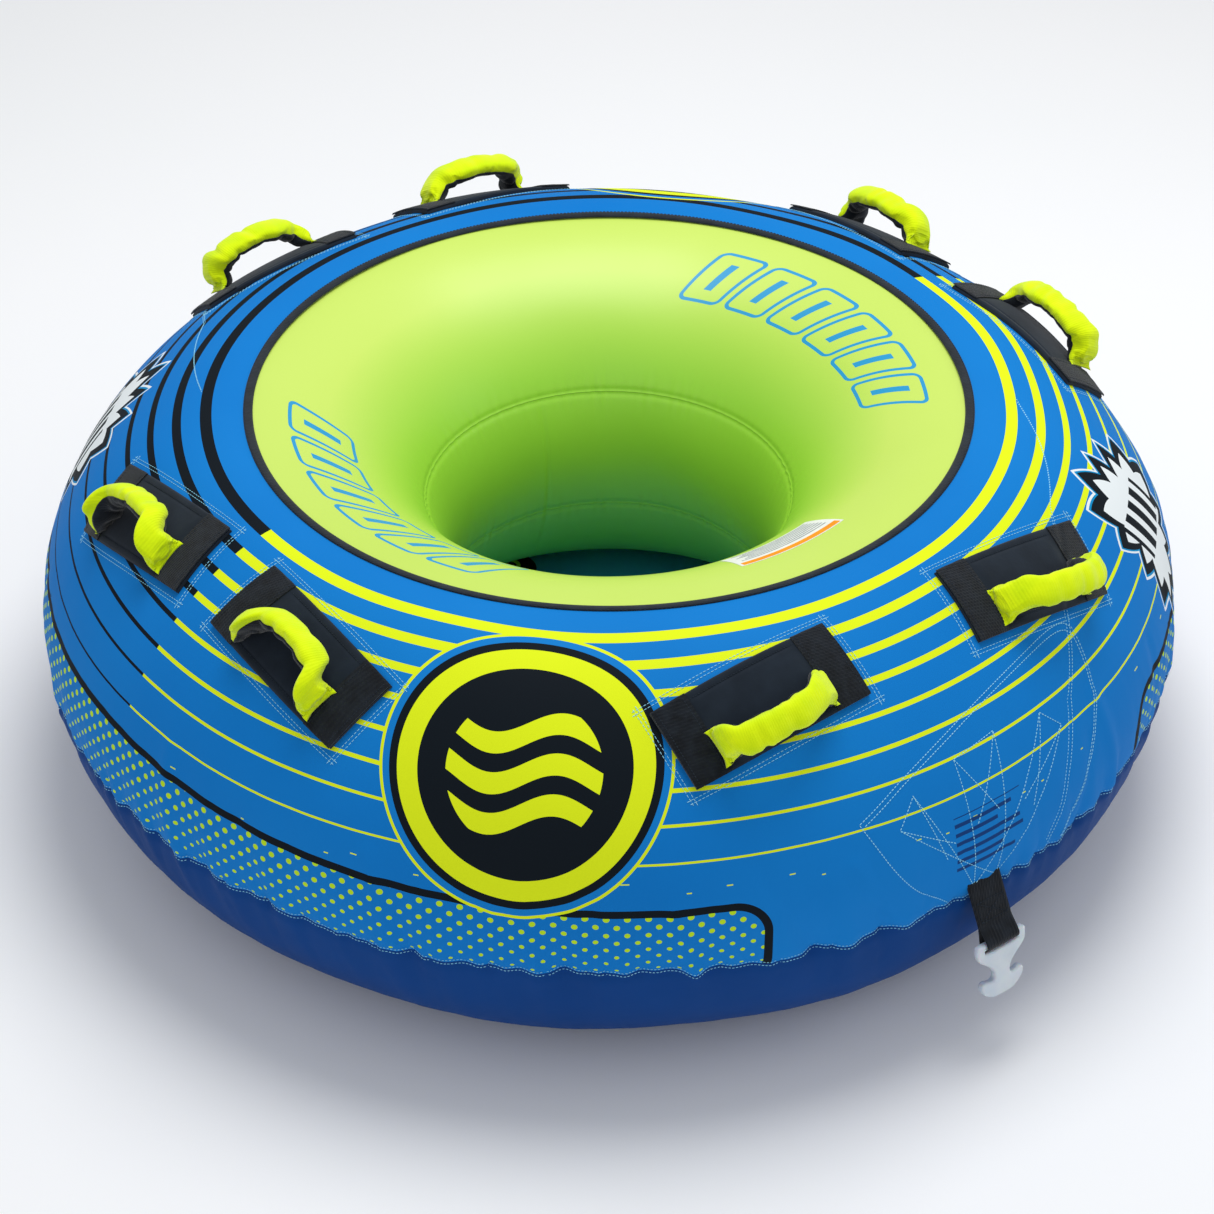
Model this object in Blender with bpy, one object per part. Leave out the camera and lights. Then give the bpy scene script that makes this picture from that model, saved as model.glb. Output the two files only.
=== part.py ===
"""A round towable tube: an air bladder in a fabric cover, with eight grab handles and a tow hook.

Metres, +Z up. The tube rests on its flat floor at z = 0 and the tow point faces -Y.
"""
import math

import bmesh
import bpy
from mathutils import Matrix, Vector

# ---- overall sizes -------------------------------------------------------------------------------
OUTER_RADIUS = 0.889
TUBE_HEIGHT = 0.633
CROWN_RADIUS = 0.584
WELL_RADIUS = 0.258
SEGMENTS = 40

# ---- fabric and film -----------------------------------------------------------------------------
FABRIC = 0.001
FILM = 0.001
LINING_GAP = 0.006
SEAM_GAP = 0.0003
TRIM_CLEARANCE = 0.0008
OUTER_UPPER_ROUNDNESS = 1.73
OUTER_LOWER_ROUNDNESS = 2.38
INNER_ROUNDNESS = 2.0

# ---- where the panels meet, as angles around the tube's section ----------------------------------
COVER_EDGE_ANGLE = 96.9
LOWER_SEAM_ANGLE = -12.0
UPPER_WELD_ANGLE = 155.6
LOWER_WELD_ANGLE = 192.3
EQUATOR_WELD_ANGLE = 4.0
BINDING_WIDTH = 0.014
BINDING_THICKNESS = 0.002

# ---- handles -------------------------------------------------------------------------------------
PAD_ANGLE = 62.0
PAD_TOE_IN = 18.0
PAD_LENGTH = 0.285
PAD_WIDTH = 0.125
PAD_THICKNESS = 0.006
PAD_CLEARANCE = 0.0015
PATCH_LENGTH = 0.055
WEBBING = 0.002
GRIP_SPAN = PAD_LENGTH - 2.0 * PATCH_LENGTH - 0.015
GRIP_OFFSET = 0.028
GRIP_AXIS_HEIGHT = 0.015
GRIP_ARCH = 0.045
GRIP_HALF_WIDTH = 0.016
GRIP_HALF_THICKNESS = 0.016
GRIP_END_RADIUS = 0.008
GRIP_SIDES = 8
GRIP_STRAP_WIDTH = 0.024
GRIP_STRAP_START = 0.80

# ---- tow point -----------------------------------------------------------------------------------
TOW_SEAM_HEIGHT = 0.262
TOW_STANDOFF = 0.006
TOW_WEBBING_WIDTH = 0.060
TOW_WEBBING = 0.0025
TOW_STRAP_DROP = 0.075
TOW_STRAP_SPLIT = 0.048
TOW_STRAP_LEAN = 28.0
HOOK_LEAN = 8.0
HARNESS_TOP_ANGLE = 37.0
HOOK_THICKNESS = 0.012
HOOK_BAR_HEIGHT = 0.008
HOOK_SIDE = 0.014
HOOK_LENGTH = 0.095
HOOK_HORN_WIDTH = 0.080
HOOK_STEM_WIDTH = 0.028
HOOK_CLEARANCE = 0.0005
HOOK_SLOT_CLEARANCE = 0.0015

# ---- valve ---------------------------------------------------------------------------------------
VALVE_AZIMUTH = 76.4
VALVE_INSET = 0.139
VALVE_COLLAR_RADIUS = 0.047
VALVE_BORE_RADIUS = 0.021
VALVE_COLLAR_THICKNESS = 0.002
VALVE_BASE_HEIGHT = 0.005
VALVE_CAP_HEIGHT = 0.004

# ---- zipper --------------------------------------------------------------------------------------
ZIPPER_ANGLE = -38.0
ZIPPER_START = 55.0
ZIPPER_END = 125.0
ZIPPER_WIDTH = 0.032
ZIPPER_THICKNESS = 0.0015
SLIDER_LENGTH = 0.016
SLIDER_WIDTH = 0.012
SLIDER_HEIGHT = 0.005
PULL_LENGTH = 0.034
PULL_WIDTH = 0.009
PULL_THICKNESS = 0.002

COLOURS = {
    "blue": ((0.020, 0.190, 0.560, 1.0), 0.62),
    "lime": ((0.640, 0.800, 0.080, 1.0), 0.40),
    "floor": ((0.004, 0.110, 0.380, 1.0), 0.60),
    "black": ((0.016, 0.024, 0.034, 1.0), 0.85),
    "grip": ((0.740, 0.900, 0.010, 1.0), 0.70),
    "white": ((0.700, 0.800, 0.860, 1.0), 0.35),
    "steel": ((0.350, 0.360, 0.380, 1.0), 0.35),
}
METALS = {"steel"}

HANDLE_NAMES = ("front_right", "right_front", "right_back", "back_right",
                "back_left", "left_back", "left_front", "front_left")
HANDLE_AZIMUTHS = (-71.0, -16.0, 16.0, 71.0, 104.0, 166.0, 197.0, 250.0)
HANDLE_TILTS = (20.0, -30.0, -35.0, -35.0, -30.0, -55.0, -55.0, 22.0)


# ---- the tube's section --------------------------------------------------------------------------
def section_radius(angle):
    """Distance from the section's middle to its skin, at an angle above the outward direction."""
    across = math.cos(angle)
    up = math.sin(angle)
    if across >= 0.0:
        half_width = OUTER_RADIUS - CROWN_RADIUS
        roundness = OUTER_UPPER_ROUNDNESS if up >= 0.0 else OUTER_LOWER_ROUNDNESS
    else:
        half_width = CROWN_RADIUS - WELL_RADIUS + FABRIC + LINING_GAP
        roundness = INNER_ROUNDNESS
    wide = abs(across / half_width) ** roundness
    tall = abs(up / (TUBE_HEIGHT / 2.0)) ** roundness
    return (wide + tall) ** (-1.0 / roundness)


def section_point(degrees, offset=0.0):
    """(radius, height) of the skin at an angle around the section, moved outward by offset."""
    angle = math.radians(degrees)
    step = 0.004

    def at(value):
        reach = section_radius(value)
        return Vector((CROWN_RADIUS + reach * math.cos(value),
                       TUBE_HEIGHT / 2.0 + reach * math.sin(value)))

    along = (at(angle + step) - at(angle - step)).normalized()
    return at(angle) + Vector((along.y, -along.x)) * offset


def skin(azimuth, degrees, offset=0.0):
    """A point of the round skin, at an azimuth and a section angle in degrees."""
    radius, height = section_point(degrees, offset)
    turn = math.radians(azimuth)
    return Vector((radius * math.cos(turn), radius * math.sin(turn), height))


def facet_skin(azimuth, degrees, offset=0.0):
    """The same point on the flat facets that the turned panels really have."""
    step = 360.0 / SEGMENTS
    middle = (math.floor(azimuth / step) + 0.5) * step
    point = skin(azimuth, degrees, offset)
    shrink = math.cos(math.radians(step / 2.0)) / math.cos(math.radians(azimuth - middle))
    return Vector((point.x * shrink, point.y * shrink, point.z))


def spaced(start, end, count):
    """count + 1 even values from start to end."""
    return [start + (end - start) * index / count for index in range(count + 1)]


# ---- building blocks -----------------------------------------------------------------------------
def add_object(name, bm, colour, matrix=None):
    """Put a bmesh in the scene as a named object with its own material."""
    bmesh.ops.recalc_face_normals(bm, faces=bm.faces)
    mesh = bpy.data.meshes.new(name)
    bm.to_mesh(mesh)
    bm.free()
    mesh.shade_smooth()
    mesh.set_sharp_from_angle(angle=math.radians(40.0))
    material = bpy.data.materials.new(name)
    material.use_nodes = True
    shader = material.node_tree.nodes["Principled BSDF"]
    rgba, roughness = COLOURS[colour]
    shader.inputs["Base Color"].default_value = rgba
    shader.inputs["Roughness"].default_value = roughness
    shader.inputs["Metallic"].default_value = 1.0 if colour in METALS else 0.0
    mesh.materials.append(material)
    item = bpy.data.objects.new(name, mesh)
    bpy.context.scene.collection.objects.link(item)
    if matrix is not None:
        item.matrix_world = matrix
    return item


def closed_loops(bm, loops, ring):
    """Bridge a list of equal point loops into a tube, or into a closed ring."""
    rows = [[bm.verts.new(point) for point in loop] for loop in loops]
    count = len(rows[0])
    pairs = list(zip(rows, rows[1:]))
    if ring:
        pairs.append((rows[-1], rows[0]))
    for first, second in pairs:
        for index in range(count):
            after = (index + 1) % count
            bm.faces.new((first[index], first[after], second[after], second[index]))
    return rows


def turned(name, profile, colour):
    """A closed profile of (radius, height) points, turned around the tube's axis."""
    loops = []
    for step in range(SEGMENTS):
        turn = 2.0 * math.pi * step / SEGMENTS
        loops.append([(r * math.cos(turn), r * math.sin(turn), z) for r, z in profile])
    bm = bmesh.new()
    closed_loops(bm, loops, ring=True)
    return add_object(name, bm, colour)


def panel(name, angles, low, high, colour):
    """A turned sheet that follows the skin between two offsets."""
    outside = [section_point(angle, high) for angle in angles]
    inside = [section_point(angle, low) for angle in reversed(angles)]
    return turned(name, outside + inside, colour)


def slab(name, across, along, place, low, high, colour):
    """A sheet over a grid of (u, v) lines; place(u, v, offset) gives each corner."""
    bm = bmesh.new()
    top = [[bm.verts.new(place(u, v, high)) for v in along] for u in across]
    base = [[bm.verts.new(place(u, v, low)) for v in along] for u in across]
    columns = len(across) - 1
    rows = len(along) - 1
    for grid in (top, base):
        for i in range(columns):
            for j in range(rows):
                bm.faces.new((grid[i][j], grid[i + 1][j], grid[i + 1][j + 1], grid[i][j + 1]))
    rim = [(i, 0) for i in range(columns)] + [(columns, j) for j in range(rows)]
    rim += [(columns - i, rows) for i in range(columns)] + [(0, rows - j) for j in range(rows)]
    for (i, j), (k, m) in zip(rim, rim[1:] + rim[:1]):
        bm.faces.new((top[i][j], top[k][m], base[k][m], base[i][j]))
    return add_object(name, bm, colour)


def extruded(bm, loops, thickness):
    """Fill flat (x, z) loops, the first around the others, and give them a thickness along Y."""
    edges = []
    for loop in loops:
        verts = [bm.verts.new((x, -thickness / 2.0, z)) for x, z in loop]
        edges += [bm.edges.new(pair) for pair in zip(verts, verts[1:] + verts[:1])]
    flat = bmesh.ops.triangle_fill(bm, use_beauty=True, edges=edges)
    faces = [item for item in flat["geom"] if isinstance(item, bmesh.types.BMFace)]
    grown = bmesh.ops.extrude_face_region(bm, geom=faces)
    moved = [item for item in grown["geom"] if isinstance(item, bmesh.types.BMVert)]
    bmesh.ops.translate(bm, vec=(0.0, thickness, 0.0), verts=moved)


def arc(centre, radius, start, end, count):
    """Points on a circle, from start to end in degrees."""
    return [(centre[0] + radius * math.cos(math.radians(angle)),
             centre[1] + radius * math.sin(math.radians(angle)))
            for angle in spaced(start, end, count)]


# ---- bladder and cover ---------------------------------------------------------------------------
def make_bladder():
    """Three welded film panels: the crown, the inner wall of the well and the underside."""
    high = -(FABRIC + LINING_GAP)
    low = high - FILM
    half_gap = math.degrees(SEAM_GAP / section_radius(0.0)) / 2.0
    upper = UPPER_WELD_ANGLE
    lower = LOWER_WELD_ANGLE
    equator = EQUATOR_WELD_ANGLE
    panel("bladder_top_panel", spaced(equator + half_gap, upper - half_gap, 9), low, high, "lime")
    panel("bladder_inner_wall", spaced(upper + half_gap, lower - half_gap, 3), low, high, "lime")
    panel("bladder_bottom_panel", spaced(lower + half_gap, 360.0 + equator - half_gap, 10),
          low, high, "lime")


def cover_angles():
    """The section lines of the printed upper cover, from its lower seam to its opening."""
    return spaced(LOWER_SEAM_ANGLE, COVER_EDGE_ANGLE, 12)


def make_cover():
    """The printed upper cover, the plain lower side, the floor and the opening's binding."""
    half_gap = math.degrees(SEAM_GAP / section_radius(0.0))
    panel("cover_top", cover_angles(), -FABRIC, 0.0, "blue")
    panel("cover_lower_side", spaced(LOWER_SEAM_ANGLE - half_gap, -90.0, 9), -FABRIC, 0.0, "blue")
    rim = CROWN_RADIUS - SEAM_GAP
    loop = []
    for step in range(SEGMENTS):
        turn = 2.0 * math.pi * step / SEGMENTS
        loop.append((rim * math.cos(turn), rim * math.sin(turn)))
    bm = bmesh.new()
    base = bm.faces.new([bm.verts.new((x, y, 0.0)) for x, y in loop])
    grown = bmesh.ops.extrude_face_region(bm, geom=[base])
    moved = [item for item in grown["geom"] if isinstance(item, bmesh.types.BMVert)]
    bmesh.ops.translate(bm, vec=(0.0, 0.0, FABRIC), verts=moved)
    add_object("cover_floor", bm, "floor")
    width = math.degrees(BINDING_WIDTH / section_radius(math.radians(COVER_EDGE_ANGLE)))
    edge = COVER_EDGE_ANGLE + width * 0.25
    panel("opening_binding", spaced(edge - width, edge, 2), TRIM_CLEARANCE,
          TRIM_CLEARANCE + BINDING_THICKNESS, "black")


# ---- handles -------------------------------------------------------------------------------------
def handle_frame(azimuth, toe_in):
    """Axes of a handle: along the pad, across it towards the crown, and out of the skin."""
    centre = skin(azimuth, PAD_ANGLE)
    around = (skin(azimuth + 0.2, PAD_ANGLE) - skin(azimuth - 0.2, PAD_ANGLE)).normalized()
    upward = (skin(azimuth, PAD_ANGLE + 0.2) - skin(azimuth, PAD_ANGLE - 0.2)).normalized()
    normal = around.cross(upward).normalized()
    turn = Matrix.Rotation(math.radians(toe_in), 3, normal)
    return centre, turn @ around, turn @ upward, normal


def on_skin(frame):
    """A function that lays (u, v) of a handle's tangent plane on the skin."""
    centre, along, across, _ = frame

    def place(u, v, offset):
        point = centre + along * u + across * v
        azimuth = math.degrees(math.atan2(point.y, point.x))
        radius = math.hypot(point.x, point.y)
        rise = point.z - TUBE_HEIGHT / 2.0
        return skin(azimuth, math.degrees(math.atan2(rise, radius - CROWN_RADIUS)), offset)

    return place


def grip_line(t):
    """Middle line of a grip in its own frame (x along, z out), its half width and thickness."""
    rise = max(math.sin(t), 0.0)
    x = -GRIP_SPAN / 2.0 * math.cos(t)
    z = GRIP_ARCH * rise ** 0.8
    half_width = GRIP_END_RADIUS + (GRIP_HALF_WIDTH - GRIP_END_RADIUS) * rise
    half_thickness = GRIP_END_RADIUS + (GRIP_HALF_THICKNESS - GRIP_END_RADIUS) * rise
    return Vector((x, 0.0, z)), half_width, half_thickness


def grip_normal(t):
    """Direction out of the arch, across its middle line."""
    step = 0.02
    along = (grip_line(min(t + step, math.pi))[0] - grip_line(max(t - step, 0.0))[0]).normalized()
    return Vector((-along.z, 0.0, along.x))


def make_grip_sleeve(name, matrix):
    """The arched grab sleeve, wide in the middle and narrow where it turns on its stitching."""
    loops = []
    reach = GRIP_END_RADIUS * 0.7
    for side, t in ((-1.0, 0.0), (1.0, math.pi)):
        end = grip_line(t)[0] + Vector((side * reach, 0.0, 0.0))
        small = [end + Vector((0.0, math.cos(a) * reach * 0.6, math.sin(a) * reach * 0.6))
                 for a in spaced(0.0, 2.0 * math.pi, GRIP_SIDES)[:-1]]
        loops.append(small)
    body = []
    for t in [0.0] + spaced(0.16, math.pi - 0.16, 9) + [math.pi]:
        middle, wide, thick = grip_line(t)
        out = Vector((0.0, 0.0, 1.0)) if t in (0.0, math.pi) else grip_normal(t)
        body.append([middle + Vector((0.0, math.cos(a) * wide, 0.0)) + out * math.sin(a) * thick
                     for a in spaced(0.0, 2.0 * math.pi, GRIP_SIDES)[:-1]])
    bm = bmesh.new()
    rows = closed_loops(bm, [loops[0]] + body + [loops[1]], ring=False)
    bm.faces.new(rows[0])
    bm.faces.new(rows[-1])
    return add_object(name, bm, "grip", matrix)


def make_grip_strap(name, matrix):
    """The webbing that carries the pull, along the underside of the sleeve."""
    half = GRIP_STRAP_WIDTH / 2.0
    loops = []
    for t in spaced(GRIP_STRAP_START, math.pi - GRIP_STRAP_START, 8):
        middle, _, thick = grip_line(t)
        out = grip_normal(t)
        top = middle - out * (thick + SEAM_GAP * 2.0)
        base = top - out * WEBBING
        side = Vector((0.0, half, 0.0))
        loops.append([top - side, top + side, base + side, base - side])
    bm = bmesh.new()
    rows = closed_loops(bm, loops, ring=False)
    bm.faces.new(rows[0])
    bm.faces.new(rows[-1])
    return add_object(name, bm, "black", matrix)


def make_handle(name, azimuth, toe_in, tilt):
    """One knuckle pad with its two webbing patches and its grip."""
    frame = handle_frame(azimuth, toe_in)
    centre, along, across, normal = frame
    place = on_skin(frame)
    half = PAD_LENGTH / 2.0
    inner = half - PATCH_LENGTH
    left = spaced(-half, -inner, 2)
    right = spaced(inner, half, 2)
    lines = left + spaced(-inner, inner, 4)[1:-1] + right
    rows = spaced(-PAD_WIDTH / 2.0, PAD_WIDTH / 2.0, 3)
    top = PAD_CLEARANCE + PAD_THICKNESS
    slab(name + "_handle_pad", lines, rows, place, PAD_CLEARANCE, top, "black")
    low = top + SEAM_GAP
    slab(name + "_handle_webbing_1", left, rows, place, low, low + WEBBING, "black")
    slab(name + "_handle_webbing_2", right, rows, place, low, low + WEBBING, "black")
    hinge = centre - across * GRIP_OFFSET + normal * GRIP_AXIS_HEIGHT
    axes = Matrix((along, across, normal)).transposed().to_4x4()
    lean = Matrix.Rotation(math.radians(tilt), 4, "X")
    matrix = Matrix.Translation(hinge) @ axes @ lean
    make_grip_sleeve(name + "_grip", matrix)
    make_grip_strap(name + "_grip_strap", matrix)


def make_handles():
    """Four pairs of handles, at the front, right, back and left."""
    for index, name in enumerate(HANDLE_NAMES):
        toe_in = PAD_TOE_IN if index % 2 else -PAD_TOE_IN
        make_handle(name, HANDLE_AZIMUTHS[index], toe_in, HANDLE_TILTS[index])


# ---- tow point -----------------------------------------------------------------------------------
def make_harness():
    """Three straps of webbing sewn inside the cover, which spread the pull of the tow loop."""
    rows = [angle for angle in cover_angles() if angle <= HARNESS_TOP_ANGLE]
    low = -FABRIC - SEAM_GAP * 2.0 - WEBBING
    high = -FABRIC - SEAM_GAP * 2.0
    half = math.degrees(TOW_WEBBING_WIDTH / 2.0 / OUTER_RADIUS)
    swing = 360.0 / SEGMENTS - 2.4 * half

    def straight(u, v, offset):
        return facet_skin(-90.0 + u * half, v, offset)

    slab("tow_harness_centre", (-1.0, 0.0, 1.0), rows, straight, low, high, "black")
    for side, name in ((-1.0, "tow_harness_left"), (1.0, "tow_harness_right")):
        def slanted(u, v, offset, side=side):
            rise = (v - rows[0]) / (rows[-1] - rows[0])
            start = half * 1.1 + swing * rise
            return facet_skin(-90.0 + side * (start + u * half * 1.2), v, offset)

        slab(name, (0.0, 1.0), rows, slanted, low, high, "black")


def make_tow_strap(matrix):
    """The webbing loop that hangs from the seam and passes round the hook's bar."""
    bar_reach = math.hypot(HOOK_BAR_HEIGHT / 2.0, HOOK_THICKNESS / 2.0)
    eye = bar_reach + HOOK_CLEARANCE
    outer = eye + TOW_WEBBING
    flat = TOW_WEBBING + HOOK_CLEARANCE / 2.0
    outline = arc((0.0, 0.0), flat, 180.0, 0.0, 6)
    outline.append((flat, -TOW_STRAP_SPLIT))
    outline += arc((0.0, -TOW_STRAP_DROP), outer, 25.0, -205.0, 12)
    outline.append((-flat, -TOW_STRAP_SPLIT))
    hole = [(0.0, -TOW_STRAP_SPLIT - TOW_WEBBING)]
    hole += arc((0.0, -TOW_STRAP_DROP), eye, 30.0, -210.0, 12)
    bm = bmesh.new()
    extruded(bm, (outline, hole), TOW_WEBBING_WIDTH)
    bmesh.ops.rotate(bm, verts=bm.verts, matrix=Matrix.Rotation(math.radians(90.0), 3, "Z"))
    add_object("tow_strap", bm, "black", matrix)


def make_tow_hook(matrix):
    """The moulded quick-connect hook: a yoke with a slot for the loop, a stem and two horns."""
    bar = HOOK_BAR_HEIGHT / 2.0
    slot = TOW_WEBBING_WIDTH / 2.0 + HOOK_SLOT_CLEARANCE
    side = slot + HOOK_SIDE
    base = math.hypot(bar, HOOK_THICKNESS / 2.0) + 2.0 * HOOK_CLEARANCE + TOW_WEBBING + 0.002
    stem = HOOK_STEM_WIDTH / 2.0
    horn = HOOK_HORN_WIDTH / 2.0
    low = -HOOK_LENGTH
    corner = (side - 0.006, bar - 0.006)
    half = [(0.0, bar)] + arc(corner, 0.006, 90.0, 0.0, 3)
    half += [(side, -base), (side * 0.82, -base - 0.014), (stem * 1.2, low + 0.050)]
    half += [(stem, low + 0.036), (stem * 1.25, low + 0.029)]
    half += [(horn - 0.010, low + 0.030)] + arc((horn - 0.006, low + 0.026), 0.006, 75.0, -10.0, 3)
    half += [(horn * 0.88, low + 0.012), (horn * 0.55, low + 0.003)]
    outline = half + [(0.0, low)] + [(-x, z) for x, z in reversed(half[1:])]
    hole = [(-slot, -bar), (slot, -bar), (slot, -base), (-slot, -base)]
    bm = bmesh.new()
    extruded(bm, (outline, hole), HOOK_THICKNESS)
    add_object("tow_hook", bm, "white", matrix)


def make_tow_point():
    """The harness inside the cover, the hanging loop and its hook."""
    make_harness()
    hinge = Matrix.Translation((0.0, -OUTER_RADIUS - TOW_STANDOFF, TOW_SEAM_HEIGHT))
    strap = hinge @ Matrix.Rotation(math.radians(-TOW_STRAP_LEAN), 4, "X")
    make_tow_strap(strap)
    settle = Matrix.Rotation(math.radians(TOW_STRAP_LEAN - HOOK_LEAN), 4, "X")
    make_tow_hook(strap @ Matrix.Translation((0.0, 0.0, -TOW_STRAP_DROP)) @ settle)


# ---- valve ---------------------------------------------------------------------------------------
def ring_piece(name, inner, outer, low, high, colour, matrix, count=20):
    """A flat ring, or a disc where inner is 0."""
    bm = bmesh.new()
    if inner > 0.0:
        loops = []
        for angle in spaced(0.0, 360.0, count)[:-1]:
            x = math.cos(math.radians(angle))
            y = math.sin(math.radians(angle))
            loops.append([(inner * x, inner * y, low), (outer * x, outer * y, low),
                          (outer * x, outer * y, high), (inner * x, inner * y, high)])
        closed_loops(bm, loops, ring=True)
    else:
        rows = closed_loops(bm, [[(x, y, z) for x, y in arc((0.0, 0.0), outer, 0.0, 360.0, count)[:-1]]
                                 for z in (low, high)], ring=False)
        bm.faces.new(rows[0])
        bm.faces.new(rows[1])
    return add_object(name, bm, colour, matrix)


def make_valve():
    """The air valve on the floor: a glued collar, its threaded seat and the screw cap."""
    turn = math.radians(VALVE_AZIMUTH)
    reach = CROWN_RADIUS - VALVE_INSET
    matrix = Matrix.Translation((reach * math.cos(turn), reach * math.sin(turn), 0.0))
    low = FABRIC + SEAM_GAP
    seat = VALVE_BORE_RADIUS - SEAM_GAP
    ring_piece("valve_collar", VALVE_BORE_RADIUS, VALVE_COLLAR_RADIUS, low,
               low + VALVE_COLLAR_THICKNESS, "black", matrix)
    ring_piece("valve_seat", seat - 0.005, seat, low, low + VALVE_BASE_HEIGHT, "black", matrix)
    top = low + VALVE_BASE_HEIGHT + SEAM_GAP
    ring_piece("valve_cap", 0.0, seat, top, top + VALVE_CAP_HEIGHT, "lime", matrix)


# ---- zipper --------------------------------------------------------------------------------------
def box_piece(name, size, centre, colour, matrix):
    """A plain block."""
    bm = bmesh.new()
    bmesh.ops.create_cube(bm, size=1.0)
    bmesh.ops.scale(bm, vec=size, verts=bm.verts)
    bmesh.ops.translate(bm, vec=centre, verts=bm.verts)
    return add_object(name, bm, colour, matrix)


def make_zipper():
    """The zip that lets the bladder out, at the back of the lower side."""
    half = math.degrees(ZIPPER_WIDTH / 2.0 / section_radius(math.radians(ZIPPER_ANGLE)))
    count = max(2, round((ZIPPER_END - ZIPPER_START) * 8.0 / 360.0 * 10.0))

    def place(u, v, offset):
        return skin(u, v, offset)

    high = TRIM_CLEARANCE + ZIPPER_THICKNESS
    slab("zipper_tape", spaced(ZIPPER_START, ZIPPER_END, count),
         spaced(ZIPPER_ANGLE - half, ZIPPER_ANGLE + half, 2), place, TRIM_CLEARANCE, high, "black")
    start = ZIPPER_START + 3.0
    point = skin(start, ZIPPER_ANGLE, high + 0.001 + SLIDER_HEIGHT / 2.0)
    around = (skin(start + 0.2, ZIPPER_ANGLE) - skin(start - 0.2, ZIPPER_ANGLE)).normalized()
    upward = (skin(start, ZIPPER_ANGLE + 0.2) - skin(start, ZIPPER_ANGLE - 0.2)).normalized()
    normal = around.cross(upward).normalized()
    axes = Matrix((around, upward, normal)).transposed().to_4x4()
    matrix = Matrix.Translation(point) @ axes
    box_piece("zipper_slider", (SLIDER_LENGTH, SLIDER_WIDTH, SLIDER_HEIGHT), (0.0, 0.0, 0.0),
              "steel", matrix)
    rise = SLIDER_HEIGHT / 2.0 + PULL_THICKNESS / 2.0 + SEAM_GAP * 3.0
    pull = matrix @ Matrix.Translation((0.0, 0.0, rise))
    box_piece("zipper_pull", (PULL_LENGTH, PULL_WIDTH, PULL_THICKNESS),
              (PULL_LENGTH / 2.0 - PULL_THICKNESS / 2.0, 0.0, 0.0), "steel", pull)


def main():
    for item in list(bpy.data.objects):
        bpy.data.objects.remove(item, do_unlink=True)
    make_bladder()
    make_cover()
    make_handles()
    make_tow_point()
    make_valve()
    make_zipper()


main()
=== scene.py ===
"""Towable tube: printed fabric cover over a lime bladder, eight grab handles and a tow point."""
import math

import bmesh
import bpy
import numpy as np
from mathutils import Matrix, Vector


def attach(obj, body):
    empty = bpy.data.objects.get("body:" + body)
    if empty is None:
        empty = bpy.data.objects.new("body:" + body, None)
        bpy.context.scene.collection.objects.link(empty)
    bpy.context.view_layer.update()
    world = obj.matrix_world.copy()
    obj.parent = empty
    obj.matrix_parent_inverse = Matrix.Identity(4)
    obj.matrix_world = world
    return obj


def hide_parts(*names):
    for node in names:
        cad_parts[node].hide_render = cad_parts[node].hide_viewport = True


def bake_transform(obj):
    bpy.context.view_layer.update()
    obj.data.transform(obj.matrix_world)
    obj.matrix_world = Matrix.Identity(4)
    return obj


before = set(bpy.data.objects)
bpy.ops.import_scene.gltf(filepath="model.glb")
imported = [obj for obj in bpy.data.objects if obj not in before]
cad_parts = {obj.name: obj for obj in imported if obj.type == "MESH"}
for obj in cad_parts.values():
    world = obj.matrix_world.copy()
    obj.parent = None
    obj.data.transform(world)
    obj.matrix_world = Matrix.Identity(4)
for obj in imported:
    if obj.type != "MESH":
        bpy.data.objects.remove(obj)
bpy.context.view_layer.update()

# ---- measurements of the CAD model, in metres and degrees ----------------------------------------
OUTER_RADIUS = 0.889
TUBE_HEIGHT = 0.633
CROWN_RADIUS = 0.584
WELL_RADIUS = 0.258
FABRIC = 0.001
LINING_GAP = 0.006
COVER_EDGE = 96.9
LOWER_SEAM = -12.0
UPPER_WELD = 155.6
LOWER_WELD = 192.3
EQUATOR_WELD = 364.0
PAD_ANGLE = 62.0
PAD_TOE_IN = 18.0
PAD_LENGTH = 0.285
PAD_WIDTH = 0.125
PAD_LIFT = 0.0015
PAD_THICKNESS = 0.006
PATCH_LENGTH = 0.055
WEBBING = 0.002
GRIP_OFFSET = 0.028
GRIP_AXIS_HEIGHT = 0.015
HANDLES = (("front_right", -71.0, 20.0), ("right_front", -16.0, -30.0),
           ("right_back", 16.0, -35.0), ("back_right", 71.0, -35.0),
           ("back_left", 104.0, -30.0), ("left_back", 166.0, -55.0),
           ("left_front", 197.0, -55.0), ("front_left", 250.0, 22.0))
TOW_HEIGHT = 0.262
TOW_STANDOFF = 0.006
TOW_WIDTH = 0.060
TOW_WEBBING = 0.0025
TOW_DROP = 0.075
TOW_SPLIT = 0.048
TOW_LEAN = 28.0
HOOK_LEAN = 8.0
VALVE_AZIMUTH = 76.4
VALVE_REACH = 0.445
ZIPPER_ANGLE = -38.0
ZIPPER_START = 55.0
ZIPPER_END = 125.0

# ---- the print and the sewing, as (azimuth, section angle) in degrees ----------------------------
STRIPES = ((84.7, 0.018), (76.2, 0.015), (67.9, 0.012), (59.9, 0.010), (50.8, 0.0072),
           (41.7, 0.0062), (32.5, 0.0045), (22.5, 0.0033))
BADGE_AZIMUTH = -135.0
BADGE_ANGLE = 45.5
BURST_AZIMUTH = -45.0
BURST_ANGLE = 35.0
TOW_GAP_AZIMUTH = -88.5
TOW_GAP_HALF = 23.5
SIDE_SEAM = ((-37.7, 82.7), (-58.7, 67.9), (-68.9, 50.7), (-75.7, 28.4), (-82.1, -10.5))


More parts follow.
